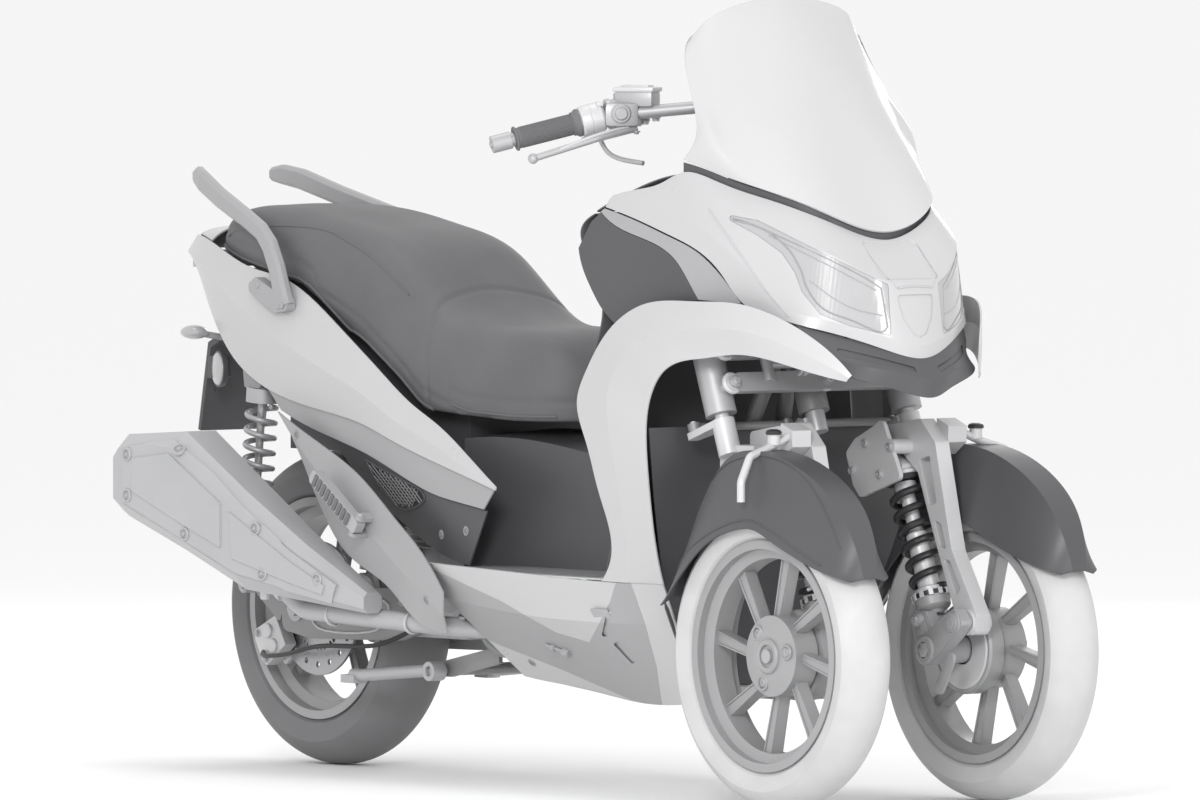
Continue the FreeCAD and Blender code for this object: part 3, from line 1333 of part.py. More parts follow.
def machinery():
    frame_shape = less(frame(), *on_both(body["rear"]))
    column, bars = lean_arms()
    columns = [column, mirrored(column)]
    node("lean_linkage", Part.Compound(columns + [less(bar, frame_shape, *columns) for bar in bars]))
    node("frame", frame_shape)
    bar = handlebar()
    node("steering_stem", less(steering(), bar))
    node("handlebar", bar)
    two_sided("grips", grip())
    two_sided("controls", less(control().fuse(lever()), bar))
    case = drive_case()
    engine_shape = less(engine(), case)
    arm = swingarm().fuse(rear_axle()).cut(engine_shape)
    node("engine", engine_shape)
    node("drive_case", less(case, arm))
    node("swingarm", arm)
    shock_shape, spring_shape = rear_shock()
    damper = less(shock_shape, case, mirrored(arm), frame_shape)
    two_sided("rear_shocks", Part.Compound([damper, less(spring_shape, damper)]))
    node("exhaust", less(silencer().fuse(exhaust_pipe()), engine_shape, mirrored(body["lower"])))
    node("centre_stand", centre_stand())
    for name, shape in {"tie_rod": tie_rod(), "passenger_peg": peg()}.items():
        node(name + "_left", shape)
        node(name + "_right", mirrored(shape))


def hinge_ears():
    """The two ears on the tunnel that hold the seat's hinge pin."""
    centre = seat_hinge_point()
    ears = []
    for side in (-1, 1):
        start = centre + Vector(0, side * 30.3, 0)
        end = centre + Vector(0, side * 44, 0)
        foot = plate([start + Vector(-8, 0, 0), start + Vector(8, 0, 0), start + Vector(8, 0, -20),
                      start + Vector(-8, 0, -20)], end - start)
        ears.append(barrel(start, end, 8).fuse(foot).cut(barrel(centre - Vector(0, 60, 0), centre + Vector(0, 60, 0),
                                                               4 + pin_gap)))
    return ears


def inner_body():
    lower, fairing = on_both(body["lower"]), on_both(body["fairing"])
    sides, strips, cowl = on_both(body["side"]), on_both(body["strip"]), body["cowl"]
    rear = on_both(body["rear"])
    sill = body["sill"]
    board = less(foot_board(), lower[0], sill, fairing[0])
    shield = less(inner_shield(), *fairing, *sides, *on_both(board), *lower)
    tunnel_skin = less(tunnel(), *on_both(board), shield)
    tunnel_shape = tunnel_skin.fuse([less(ear, tunnel_skin) for ear in hinge_ears()]).removeSplitter()
    two_sided("foot_boards", board)
    node("inner_shield", shield)
    node("dash", less(dash(), shield, cowl, *sides, *strips))
    node("tunnel", tunnel_shape)
    node("belly", less(belly(), *lower, *on_both(sill)))
    node("arch_liner", less(arch_liner(), *lower, *on_both(sill), *fairing))
    tray = less(tail_tray(), *rear)
    node("tail_tray", tray)
    node("tail_lamp", less(tail_lamp(), *rear))
    holder = less(plate_holder(), tray)
    node("plate_holder", holder)
    cover = less(peg_panel(), lower[0], sill, board)
    lugs = [less(lug, cover) for lug in peg_lugs()]
    two_sided("step_panels", less(step_panel(), cover))
    two_sided("peg_panels", cover.fuse(lugs).removeSplitter())
    two_sided("grab_rails", less(grab_rail(), rear[0]))
    two_sided("indicators", less(indicator(), holder))


machinery()
inner_body()


def finish():
    doc.recompute()
    bad = []
    for item in doc.Objects:
        if "Invalid" in item.State or "Error" in item.State:
            bad.append(item.Name)
    for label, item in made.items():
        if item.Shape.isNull() or not item.Shape.isValid():
            bad.append(label)
    if bad:
        raise RuntimeError("these did not build: " + ", ".join(bad))
    for label, item in made.items():
        item.Shape.exportStep("parts/%s.step" % label)


finish()
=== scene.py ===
"""Looks of a tilting three-wheel scooter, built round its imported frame."""
import json
import math

import bmesh
import bpy
from mathutils import Matrix, Vector
from mathutils.geometry import delaunay_2d_cdt


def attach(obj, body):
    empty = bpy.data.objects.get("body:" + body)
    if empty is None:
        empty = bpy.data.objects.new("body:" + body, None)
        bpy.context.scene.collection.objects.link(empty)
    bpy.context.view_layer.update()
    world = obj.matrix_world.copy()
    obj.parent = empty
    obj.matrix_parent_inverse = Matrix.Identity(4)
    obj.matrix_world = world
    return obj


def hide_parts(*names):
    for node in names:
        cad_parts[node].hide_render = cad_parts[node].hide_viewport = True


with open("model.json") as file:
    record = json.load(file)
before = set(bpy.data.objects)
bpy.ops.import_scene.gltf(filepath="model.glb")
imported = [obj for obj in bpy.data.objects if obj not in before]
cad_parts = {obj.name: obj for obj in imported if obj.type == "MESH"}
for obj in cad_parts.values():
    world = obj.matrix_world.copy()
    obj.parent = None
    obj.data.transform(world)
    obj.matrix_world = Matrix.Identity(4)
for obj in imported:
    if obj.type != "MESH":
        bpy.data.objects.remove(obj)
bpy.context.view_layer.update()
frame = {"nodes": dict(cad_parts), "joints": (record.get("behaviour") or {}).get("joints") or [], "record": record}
nodes = frame["nodes"]
joints = {joint["name"]: joint for joint in frame["joints"]}

MM = 0.001
SQUARE = ((-1, -1), (1, -1), (1, 1), (-1, 1))
REAR_AXLE_X = joints["rear_wheel_spin"]["pos_m"][0]
FRONT_X, FRONT_SIDE, FRONT_Z = 1560, 225, 262


def at(x, y, z):
    """A place in millimetres from the rear axle, as a point of the frame in metres."""
    return Vector((REAR_AXLE_X + x * MM, y * MM, z * MM))


REAR_Z = 276
AXLE = {"rear": at(0, 0, REAR_Z), "left": at(FRONT_X, FRONT_SIDE, FRONT_Z),
        "right": at(FRONT_X, -FRONT_SIDE, FRONT_Z)}


# Camera and studio

CAMERA_AZIMUTH = math.radians(52.8)
CAMERA_RISE = math.radians(2.3)
CAMERA_DISTANCE = 38.0
CAMERA_LENS = 659.0
CAMERA_AIM = at(752.5, 0, 664.6)
LIGHT_AIM = Vector((0, 0, 0.6))
FLOOR_HALF = 60.0


def put(name, data):
    """A new object in the scene."""
    item = bpy.data.objects.new(name, data)
    bpy.context.scene.collection.objects.link(item)
    return item


def camera_at_photo_angle():
    data = bpy.data.cameras.new("photo_camera")
    data.lens = CAMERA_LENS
    data.sensor_width = 36.0
    data.clip_end = 200.0
    camera = put("photo_camera", data)
    back = Vector((math.sin(CAMERA_AZIMUTH) * math.cos(CAMERA_RISE),
                   -math.cos(CAMERA_AZIMUTH) * math.cos(CAMERA_RISE), math.sin(CAMERA_RISE)))
    camera.location = CAMERA_AIM + back * CAMERA_DISTANCE
    camera.rotation_euler = back.to_track_quat("Z", "Y").to_euler()
    bpy.context.scene.camera = camera


def area_light(name, place, size, power):
    data = bpy.data.lights.new(name, "AREA")
    data.shape = "DISK"
    data.size = size
    data.energy = power
    light = put(name, data)
    light.location = place
    light.rotation_euler = (light.location - LIGHT_AIM).to_track_quat("Z", "Y").to_euler()


def studio():
    world = bpy.data.worlds.new("studio")
    world.use_nodes = True
    background = world.node_tree.nodes["Background"]
    background.inputs["Color"].default_value = (0.98, 0.98, 0.98, 1.0)
    background.inputs["Strength"].default_value = 1.0
    bpy.context.scene.world = world
    bpy.context.scene.view_settings.view_transform = "Standard"
    area_light("key", (4.4, -4.6, 2.8), 1.6, 170)
    area_light("front", (6.2, -0.4, 1.4), 1.4, 46)
    area_light("top", (-1.2, 0.4, 6.0), 2.4, 40)
    area_light("far_side", (-3.4, 4.6, 2.6), 2.0, 30)


def floor():
    mesh = bpy.data.meshes.new("floor")
    corners = [(x * FLOOR_HALF, y * FLOOR_HALF, 0) for x, y in SQUARE]
    mesh.from_pydata(corners, [], [(0, 1, 2, 3)])
    mesh.materials.append(finishes["plain_floor"])
    put("floor", mesh)


# Materials

finishes = {}


class Finish:
    """One named material with its shader, and the ways its nodes are added and joined."""

    def __init__(self, name, roughness, metallic=0.0):
        material = bpy.data.materials.new(name)
        material.use_nodes = True
        finishes[name] = material
        self.tree = material.node_tree
        self.shader = self.tree.nodes["Principled BSDF"]
        self.set(self.shader, {"Roughness": roughness, "Metallic": metallic})

    def set(self, node, values):
        for name, value in values.items():
            node.inputs[name].default_value = value

    def add(self, kind, values=None):
        node = self.tree.nodes.new("ShaderNode" + kind)
        self.set(node, values or {})
        return node

    def join(self, source, node, name):
        self.tree.links.new(source, node.inputs[name])

    def place(self):
        return self.add("TexCoord").outputs["Object"]

    def noise(self, scale, detail=4.0, stretch=(1, 1, 1)):
        """A noise in the piece's own space, stretched where a grain runs one way."""
        mapping = self.add("Mapping", {"Scale": stretch})
        texture = self.add("TexNoise", {"Scale": scale, "Detail": detail})
        self.join(self.place(), mapping, "Vector")
        self.join(mapping.outputs["Vector"], texture, "Vector")
        return texture.outputs["Fac"]

    def ramp(self, source, low, high, dark, bright, name):
        """Drives one input of the shader between two colours."""
        scale = self.add("ValToRGB")
        for element, position, colour in zip(scale.color_ramp.elements, (low, high), (dark, bright)):
            element.position = position
            element.color = (*colour, 1)
        self.join(source, scale, "Fac")
        self.join(scale.outputs["Color"], self.shader, name)

    def mottle(self, source, low, high, colour, spread):
        dark, bright = (tuple(min(1.0, c * (1 + sign * spread)) for c in colour) for sign in (-1, 1))
        self.ramp(source, low, high, dark, bright, "Base Color")

    def bump(self, source, strength, distance, edge=0.0):
        """Relief of the surface; the light sees each edge rounded by so much."""
        relief = self.add("Bump", {"Strength": strength, "Distance": distance})
        self.join(source, relief, "Height")
        self.join(relief.outputs["Normal"], self.shader, "Normal")
        if edge:
            bevel = self.add("Bevel", {"Radius": edge})
            bevel.samples = 4
            self.join(bevel.outputs["Normal"], relief, "Normal")


def plain_floor():
    finish = Finish("plain_floor", 0.9)
    finish.set(finish.shader, {"Base Color": (0.93, 0.93, 0.93, 1)})


def surface(name, colour, roughness, metallic=0.0, mottle=0.03, mottle_scale=5.0, grain_scale=900.0,
            grain=0.08, edge=0.0012, stretch=(1, 1, 1), gloss_spread=0.06, coat=0.0):
    """A moulded, cast or painted surface: slow mottling, fine grain, uneven gloss and soft edges."""
    finish = Finish(name, roughness, metallic)
    slow = finish.noise(mottle_scale)
    fine = finish.noise(grain_scale, 2.0, stretch)
    finish.mottle(slow, 0.35, 0.65, colour, mottle)
    low, high = max(0.02, roughness - gloss_spread), min(1.0, roughness + gloss_spread)
    finish.ramp(slow, 0.3, 0.7, (low,) * 3, (high,) * 3, "Roughness")
    finish.set(finish.shader, {"Coat Weight": coat, "Coat Roughness": 0.12})
    finish.bump(fine, grain, 0.0004, edge)


def leather(name, colour, pore_scale, depth):
    """Grained seat cover: cells of a pebbled grain with softer folds under it."""
    finish = Finish(name, 0.6)
    cells = finish.add("TexVoronoi", {"Scale": pore_scale})
    finish.join(finish.place(), cells, "Vector")
    heights = finish.add("Math", {1: 0.7})
    heights.operation = "MULTIPLY_ADD"
    finish.join(finish.noise(26.0, 3.0), heights, 0)
    finish.join(cells.outputs["Distance"], heights, 2)
    finish.mottle(finish.noise(7.0), 0.3, 0.7, colour, 0.08)
    finish.bump(heights.outputs[0], depth, 0.0006)


def lens(name, colour):
    """A moulded lens: glossy, with fine upright prisms under its surface."""
    finish = Finish(name, 0.16)
    finish.mottle(finish.noise(9.0), 0.3, 0.7, colour, 0.05)
    finish.set(finish.shader, {"Coat Weight": 0.6})
    ribs = finish.add("TexWave", {"Scale": 60.0})
    finish.join(finish.place(), ribs, "Vector")
    finish.bump(ribs.outputs["Fac"], 0.12, 0.0006, 0.002)


def tyre_rubber(name, colour):
    surface(name, colour, 0.62, mottle=0.04, mottle_scale=14, grain_scale=1500, grain=0.14, edge=0)


def casting(name, colour, roughness, metallic):
    surface(name, colour, roughness, metallic, grain_scale=700, grain=0.12)


def make_finishes():
    plain_floor()
    surface("white_panel", (0.49, 0.49, 0.497), 0.32, mottle=0.012, grain=0.03, coat=0.25)
    surface("screen", (0.53, 0.53, 0.537), 0.2, mottle=0.01, grain=0.02, coat=0.3)
    surface("light_grey_panel", (0.34, 0.34, 0.347), 0.42, mottle=0.02, grain=0.05)
    surface("dark_grey_panel", (0.075, 0.075, 0.08), 0.46, mottle=0.05, grain=0.10)
    leather("seat_cover", (0.115, 0.115, 0.12), 340.0, 0.35)
    tyre_rubber("front_tyre_rubber", (0.53, 0.53, 0.535))
    tyre_rubber("rear_tyre_rubber", (0.17, 0.17, 0.175))
    casting("cast_wheel", (0.34, 0.34, 0.346), 0.42, 0.15)
    casting("cast_arm", (0.58, 0.58, 0.588), 0.4, 0.2)
    surface("steel_tube", (0.27, 0.27, 0.275), 0.45, metallic=0.3, grain=0.06)
    surface("machine_grey", (0.42, 0.42, 0.43), 0.42, metallic=0.35, grain_scale=500, grain=0.14)
    surface("silencer_cover", (0.44, 0.44, 0.45), 0.4, metallic=0.15, grain=0.05)
    surface("shock_steel", (0.035, 0.035, 0.037), 0.35, metallic=0.3, grain=0.04, edge=0)
    surface("grip_rubber", (0.15, 0.15, 0.155), 0.75, grain_scale=1200, grain=0.3)
    lens("lamp_lens", (0.41, 0.41, 0.417))
    surface("disc_steel", (0.40, 0.40, 0.41), 0.3, metallic=0.8, grain_scale=240, grain=0.12,
            stretch=(1, 8, 1))


def dress_nodes():
    slots = {part["node"]: part["material_slot"] for part in frame["record"]["subparts"]}
    for name, item in nodes.items():
        finish = finishes[slots[name]]
        if not item.material_slots:
            item.data.materials.append(finish)
        for holder in item.material_slots:
            holder.material = finish


# Shapes. Each gives its points and its faces; a piece joins several of them.


def square_to(axis):
    """Two directions square to an axis and to each other."""
    helper = Vector((0, 0, 1)) if abs(axis.normalized().z) < 0.9 else Vector((1, 0, 0))
    across = axis.cross(helper).normalized()
    return across, axis.cross(across).normalized()


def round_way(across, up, angle):
    return across * math.cos(angle) + up * math.sin(angle)


def turned(centre, axis, profile, steps):
    """A turned shape. The profile's pairs are distance along the axis and radius, in mm."""
    across, up = square_to(axis)
    way = axis.normalized()
    points, faces, rings = [], [], []
    for distance, radius in profile:
        spot = centre + way * distance * MM
        count = steps if radius > 0 else 1
        rings.append(range(len(points), len(points) + count))
        points += [spot + round_way(across, up, math.tau * i / steps) * radius * MM for i in range(count)]
    for first, second in zip(rings, rings[1:]):
        for i in range(steps):
            j = (i + 1) % steps
            face = [ring[k % len(ring)] for ring, k in ((first, i), (second, i), (second, j), (first, j))]
            face = list(dict.fromkeys(face))
            if len(face) > 2:
                faces.append(face)
    return points, faces


def eased(points, per, closed=False):
    """A smooth line through these points."""
    count = len(points)
    line = []
    for i in range(count if closed else count - 1):
        near = [i + k for k in (-1, 0, 1, 2)]
        p0, p1, p2, p3 = (points[k % count if closed else min(max(k, 0), count - 1)] for k in near)
        for step in range(per):
            t = step / per
            line.append(0.5 * (2 * p1 + (p2 - p0) * t + (2 * p0 - 5 * p1 + 4 * p2 - p3) * t * t
                               + (3 * p1 - p0 - 3 * p2 + p3) * t ** 3))
    return line if closed else line + [points[-1]]


def swept(points, radius, sides, flat=1.0, closed=False):
    """A round or flattened bar along these points, with closed ends."""
    count = len(points)
    out, faces = [], []
    across = None
    for i, spot in enumerate(points):
        before, after = (i - 1, (i + 1) % count) if closed else (max(i - 1, 0), min(i + 1, count - 1))
        way = (points[after] - points[before]).normalized()
        if across is None:
            across = square_to(way)[0]
        across = (across - way * across.dot(way)).normalized()
        up = way.cross(across)
        ring = [round_way(across, up * flat, math.tau * k / sides) for k in range(sides)]
        out += [spot + way_out * radius * MM for way_out in ring]
    for i in range(count if closed else count - 1):
        for k in range(sides):
            a, b = i * sides + k, i * sides + (k + 1) % sides
            faces.append([a, b, (b + sides) % (count * sides), (a + sides) % (count * sides)])
    if not closed:
        faces += [list(range(sides)), list(range((count - 1) * sides, count * sides))]
    return out, faces


def block(outline, thickness, soft):
    """A plate over an outline, with edges rounded by so many mm."""
    mesh = bmesh.new()
    lower = [mesh.verts.new(p) for p in outline]
    upper = [mesh.verts.new(p + thickness) for p in outline]
    mesh.faces.new(lower)
    mesh.faces.new(upper)
    for i in range(len(outline)):
        j = (i + 1) % len(outline)
        mesh.faces.new((lower[i], lower[j], upper[j], upper[i]))
    if soft:
        bmesh.ops.bevel(mesh, geom=list(mesh.edges), offset=soft * MM, segments=2, affect="EDGES",
                        profile=0.6)
    points = [v.co.copy() for v in mesh.verts]
    mesh.verts.index_update()
    faces = [[v.index for v in f.verts] for f in mesh.faces]
    mesh.free()
    return points, faces


def side_plate(outline, y, thickness, soft):
    """A plate seen from the side: its outline is x and z, and it runs to the left from y."""
    return block([at(x, y, z) for x, z in outline], Vector((0, thickness * MM, 0)), soft)


def box_at(centre, lengths, soft, turn=0.0):
    """A softened box, turned in degrees about an upright line through its centre."""
    x, y, z = (value * MM / 2 for value in lengths)
    corners = [Vector((x * a, y * b, -z)) for a, b in SQUARE]
    points, faces = block(corners, Vector((0, 0, 2 * z)), soft)
    rotation = Matrix.Rotation(math.radians(turn), 3, "Z")
    return [centre + rotation @ p for p in points], faces


def hex_bolts(axis, radius, tall, *places):
    """A flanged hexagon head at each of these places."""
    flange = [(-1, 0), (-1, radius * 1.45), (1, radius * 1.45), (1.6, radius * 1.2), (1.6, 0)]
    head = [(1, 0), (1, radius), (tall - 1, radius), (tall, radius * 0.84), (tall, 0)]
    return [turned(place, axis, *shape) for place in places for shape in ((flange, 20), (head, 6))]


def cap_screws(axis, radius, tall, *places):
    """A round head with its socket at each of these places."""
    head = [(-1, 0), (-1, radius), (tall - 0.8, radius), (tall, radius * 0.86), (tall, radius * 0.55),
            (tall * 0.4, radius * 0.5), (tall * 0.4, 0)]
    return [turned(place, axis, head, 16) for place in places]


def mirrored(parts):
    return [([Vector((p.x, -p.y, p.z)) for p in points], faces) for points, faces in parts]


def both(parts):
    return parts + mirrored(parts)


def piece(name, body, slot, parts):
    """One named object that rides on a body, made of these shapes."""
    points, faces = [], []
    for more, sides in parts:
        faces += [[i + len(points) for i in side] for side in sides]
        points += more
    mesh = bpy.data.meshes.new(name)
    mesh.from_pydata(points, [], faces)
    work = bmesh.new()
    work.from_mesh(mesh)
    bmesh.ops.recalc_face_normals(work, faces=work.faces)
    work.to_mesh(mesh)
    work.free()
    mesh.shade_smooth()
    mesh.set_sharp_from_angle(angle=math.radians(32))
    mesh.materials.append(finishes[slot])
    item = put(name, mesh)
    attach(item, body)


def fixed(name, slot, parts):
    piece(name, "chassis", slot, parts)


def side_piece(name, body, side, slot, parts):
    """A piece made for the left side, mirrored for the right."""
    piece(name + "_" + side, body + "_" + side, slot, parts if side == "left" else mirrored(parts))


def landed(node, start, toward):
    """Where a line from start first meets a CAD node, and the surface's direction there."""
    item = nodes[node]
    back_to_local = item.matrix_world.inverted()
    way = (back_to_local.to_3x3() @ toward).normalized()
    hit, place, normal, _ = item.ray_cast(back_to_local @ start, way)
    if not hit:
        return None, None
    normal = (item.matrix_world.to_3x3() @ normal).normalized()
    return item.matrix_world @ place, -normal if normal.dot(toward) > 0 else normal


def all_landed(node, spots, seen):
    """The places and directions where spots, seen along a direction, lie on a CAD node."""
    toward, start = seen
    found = [landed(node, start(a, b), toward) for a, b in spots]
    return [(place, normal) for place, normal in found if place is not None]


def overlay(node, outline, seen, lift, cell):
    """A thin cover over part of a CAD face. The outline is seen along a direction, in mm."""
    toward, start = seen
    (low_a, high_a), (low_b, high_b) = ((min(values), max(values)) for values in zip(*outline))
    edge = []
    for (a0, b0), (a1, b1) in zip(outline, outline[1:] + outline[:1]):
        count = max(1, int(math.hypot(a1 - a0, b1 - b0) / cell))
        edge += [(a0 + (a1 - a0) * i / count, b0 + (b1 - b0) * i / count) for i in range(count)]
    inner = [(low_a + cell * i, low_b + cell * j) for i in range(1, int((high_a - low_a) / cell) + 1)
             for j in range(1, int((high_b - low_b) / cell) + 1)]
    loop = [(i, (i + 1) % len(edge)) for i in range(len(edge))]
    flat, _, faces, *_ = delaunay_2d_cdt([Vector(p) for p in edge + inner], loop, [], 1, 0.01)
    foot, places = [], []
    for a, b in flat:
        place, normal = landed(node, start(a, b), toward)
        foot.append(place)
        places.append(place + normal * lift * MM if place else None)
    faces = [list(face) for face in faces if all(places[i] is not None for i in face)]
    used = dict.fromkeys(pair for face in faces for pair in zip(face, face[1:] + face[:1]))
    count = len(flat)
    sides = [[i, j, j + count, i + count] for i, j in used if (j, i) not in used]
    return used_points(places + foot, faces + sides)


def used_points(points, faces):
    """The same faces with only the points that they use."""
    order = {}
    for face in faces:
        for i in face:
            order.setdefault(i, len(order))
    return [points[i] for i in order], [[order[i] for i in face] for face in faces]


def bead(node, line, seen, radius, flat, per=8, sink=0.2):
    """A raised bead laid along a line on a CAD face, sunk by a part of its radius."""
    found = all_landed(node, eased([Vector(spot) for spot in line], per), seen)
    return [swept([place - normal * radius * sink * MM for place, normal in found], radius, 8, flat)]


# Directions and lines that details follow

UP, FORWARD, LEFT = Vector((0, 0, 1)), Vector((1, 0, 0)), Vector((0, 1, 0))
RIGHT, BACK = -LEFT, -FORWARD
RAKE = math.radians(20.5)
STEER_AXIS = Vector((-math.sin(RAKE), 0, math.cos(RAKE)))
AHEAD = Vector((math.cos(RAKE), 0, math.sin(RAKE)))
KING_X, KING_FOOT, KING_SIDE = 1348, 690, 200
FACING = Vector((0.7965, -0.6046, 0))
ALONG = Vector((0.6046, 0.7965, 0))
FROM_RIGHT = (LEFT, lambda x, z: at(x, -500, z))
FROM_FRONT = (BACK, lambda y, z: at(1900, y, z))
FROM_CORNER = (-FACING, lambda u, z: at(0, 0, z) + (ALONG * u + FACING * 1900) * MM)


def on_king(height, side):
    """A point of a steering axis at a height; side is 0 for the stem."""
    return at(KING_X - (height - KING_FOOT) * math.tan(RAKE), side, height)


def corner(x, y, z):
    """A point from the left front axle: x and z from it, y across the machine."""
    return at(FRONT_X + x, y, FRONT_Z + z)


BAR_END, BAR_BEND = at(944, 378, 1117), at(1030, 197, 1166)
BAR_WAY = (BAR_BEND - BAR_END).normalized()
GRIP_START, GRIP_END = 52, 142


def on_bar(distance):
    return BAR_END + BAR_WAY * distance * MM


# Wheels

# Where each of a spoke's two ribs runs: across at its root and at its tip, in mm.
SPOKE_EDGES = ((-8.3, 14.4), (5.2, 34.6))
SPOKE_FACE = 9.5
FRONT_SPOKES = {"count": 8, "root": 66, "tip": 168}
REAR_SPOKES = {"count": 5, "root": 60, "tip": 166}


def around(count, radius, start):
    """Offsets in the wheel's plane, evenly round it."""
    angles = [math.tau * (i + start) / count for i in range(count)]
    return [Vector((math.cos(angle), 0, math.sin(angle))) * radius * MM for angle in angles]


def bolt_circle(centre, axis, count, ring, radius, tall, start=0.0):
    return hex_bolts(axis, radius, tall, *(centre + offset for offset in around(count, ring, start)))


def spoke_ribs(centre, count, root, tip):
    """The raised edges of each spoke, on both faces of the wheel."""
    ribs = []
    for out in (1, -1):
        for i in range(count):
            turn = Matrix.Rotation(math.tau * i / count, 3, "Y")
            for u0, u1 in SPOKE_EDGES:
                flat = [(u0, root), (u0 + 3.1, root), (u1 + 3.3, tip), (u1, tip)]
                corners = [centre + turn @ Vector((u, SPOKE_FACE * out, v)) * MM for u, v in flat]
                ribs.append(block(corners, LEFT * out * 3.2 * MM, 0.9))
    return ribs


def front_wheel(side):
    """The hub's rim and screws, the drum's face, the valve and the rim's edges."""
    centre, axis, body = AXLE[side], LEFT if side == "left" else RIGHT, "wheel_" + side
    hub = [(28, 19), (34, 19.5), (35.5, 22), (35.5, 27), (33, 30), (27, 31), (28, 19)]
    cup = [(16, 14), (29.5, 14), (31, 12.6), (31, 10), (25.5, 9.6), (25.5, 0)]
    drum = [(26, 60), (30, 76), (34, 78), (58, 78), (62, 75), (62, 70), (60, 68)]
    cast = [turned(centre, axis, hub, 40), turned(centre, -axis, drum, 64)]
    cast += spoke_ribs(centre, **FRONT_SPOKES)
    screws = bolt_circle(centre - axis * 63 * MM, -axis, 2, 54, 4.6, 4.5, 0.3)
    for offset in around(3, 49, 0.08):
        spot = centre + offset
        cast.append(turned(spot, axis, cup, 28))
        screws += cap_screws(axis, 6.8, 4.2, spot + axis * 25.5 * MM)
    valve = around(1, 176, 0.13)[0]
    screws.append(turned(centre + valve, axis - valve.normalized() * 0.5,
                         [(4, 0), (4, 4.5), (22, 4), (23, 3), (34, 3), (35, 2.2), (35, 0)], 14))
    piece("front_wheel_casting_" + side, body, "cast_wheel", cast)
    piece("front_wheel_fasteners_" + side, body, "machine_grey", screws)
    edge = [(36.5, 190), (38.5, 191), (39.5, 193), (38.8, 194.5), (36.5, 195)]
    edges = [turned(centre, way, edge, 96) for way in (axis, -axis)]
    piece("front_rim_bead_" + side, body, "cast_wheel", edges)
    drum_face = turned(centre, -axis, [(59, 27), (62, 27), (63.5, 30), (63.5, 66), (61, 70)], 64)
    piece("front_drum_face_" + side, body, "cast_arm", [drum_face])


def toothed_ring(centre, axis, inner, outer, teeth, thick):
    across, up = square_to(axis)
    points = []
    for i in range(teeth * 2):
        for step in (0.08, 0.92):
            radius = outer if i % 2 else inner
            points.append(centre + round_way(across, up, math.tau * (i + step) / (teeth * 2)) * radius * MM)
    return block(points, axis.normalized() * thick * MM, 0)


def rear_wheel():
    centre = AXLE["rear"]
    cast = spoke_ribs(centre, **REAR_SPOKES)
    cast.append(turned(centre, LEFT, [(46, 20), (50, 20), (52, 24), (52, 40), (46, 46)], 40))
    piece("rear_wheel_casting", "rear_wheel", "cast_wheel", cast)
    steel = [toothed_ring(centre + RIGHT * 52 * MM, RIGHT, 68, 74, 44, 1.8)]
    steel += bolt_circle(centre + RIGHT * 51 * MM, RIGHT, 5, 44, 5.6, 5)
    valve = around(1, 172, 0.1)[0]
    steel.append(turned(centre + valve, RIGHT, [(4, 0), (4, 4.5), (14, 4), (15, 3), (22, 3), (23, 0)], 14))
    piece("rear_disc_carrier", "rear_wheel", "disc_steel", steel)


def rear_caliper():
    """The two halves of the caliper with their bridge, clear of the disc's edge, and its pipe."""
    outward = Vector((-0.87, 0, -0.5)).normalized()
    across = Vector((-outward.z, 0, outward.x))

    def spot(reach, width, y):
        return AXLE["rear"] + (outward * reach + across * width + LEFT * y) * MM

    parts = []
    for y0, y1, reach in ((-41, -29, 84), (-82, -56, 80)):
        half = ((reach, -30), (148, -36), (156, -20), (156, 20), (148, 36), (reach, 30))
        parts.append(block([spot(r, w, y0) for r, w in half], LEFT * (y1 - y0) * MM, 3.5))
    bridge = ((125, -26), (152, -26), (152, 26), (125, 26))
    parts.append(block([spot(r, w, -80) for r, w in bridge], LEFT * 48 * MM, 2))
    boss = [(81, 13), (86, 13), (87.5, 11.5), (87.5, 0)]
    screws = []
    for width in (-15, 15):
        parts.append(turned(spot(112, width, 0), RIGHT, boss, 28))
        screws += hex_bolts(RIGHT, 5, 5, spot(142, width * 1.7, -82))
    pipe = eased([spot(150, 0, -66), at(-100, -96, 190), at(-20, -104, 196), at(80, -106, 214),
                  at(240, -104, 222), at(340, -96, 252)], 8)
    fixed("rear_caliper", "cast_arm", parts)
    fixed("rear_caliper_bolts", "machine_grey", screws)
    fixed("rear_brake_pipe", "shock_steel", [swept(pipe, 4.2, 10)])


# Front suspension and steering

SHOCK_FOOT, SHOCK_HEAD = corner(-20, 120, 62), corner(-112, 120, 300)
SHOCK_WAY = (SHOCK_HEAD - SHOCK_FOOT).normalized()
SHOCK_LONG = (SHOCK_HEAD - SHOCK_FOOT).length / MM
LINK_FACE = 88.2


def shock(side):
    """The adjuster, the damper's body, the cap and the cup of one front shock."""
    foot, way, long, sleeve = SHOCK_FOOT, SHOCK_WAY, SHOCK_LONG, SHOCK_LONG * 0.55
    body = [toothed_ring(foot + way * 24.5 * MM, way, 31, 34.5, 12, 11),
            turned(foot, way, [(35, 18), (35, 27), (42, 27), (44, 24), (44, 18)], 32),
            turned(foot, way, [(44, 18), (46, 19), (sleeve, 19), (sleeve + 3, 17), (sleeve + 3, 8)], 28),
            turned(foot, way, [(sleeve + 4, 9), (sleeve + 6, 13), (long - 40, 13), (long - 34, 19),
                               (long - 22, 19), (long - 22, 9)], 28),
            turned(SHOCK_HEAD, way, [(-12, 8), (-12, 30), (-6, 32), (0, 26), (8, 16), (8, 0)], 32)]
    side_piece("shock_body", "knuckle", side, "cast_arm", body)
    cup = [turned(foot, way, [(-4, 8), (-4, 15), (2, 18), (6, 27), (10, 30), (24, 31), (24, 8)], 36),
           turned(foot, way, [(24, 12), (24, 31.5), (25, 31.5), (25, 12)], 36)]
    side_piece("shock_cup", "knuckle", side, "cast_wheel", cup)


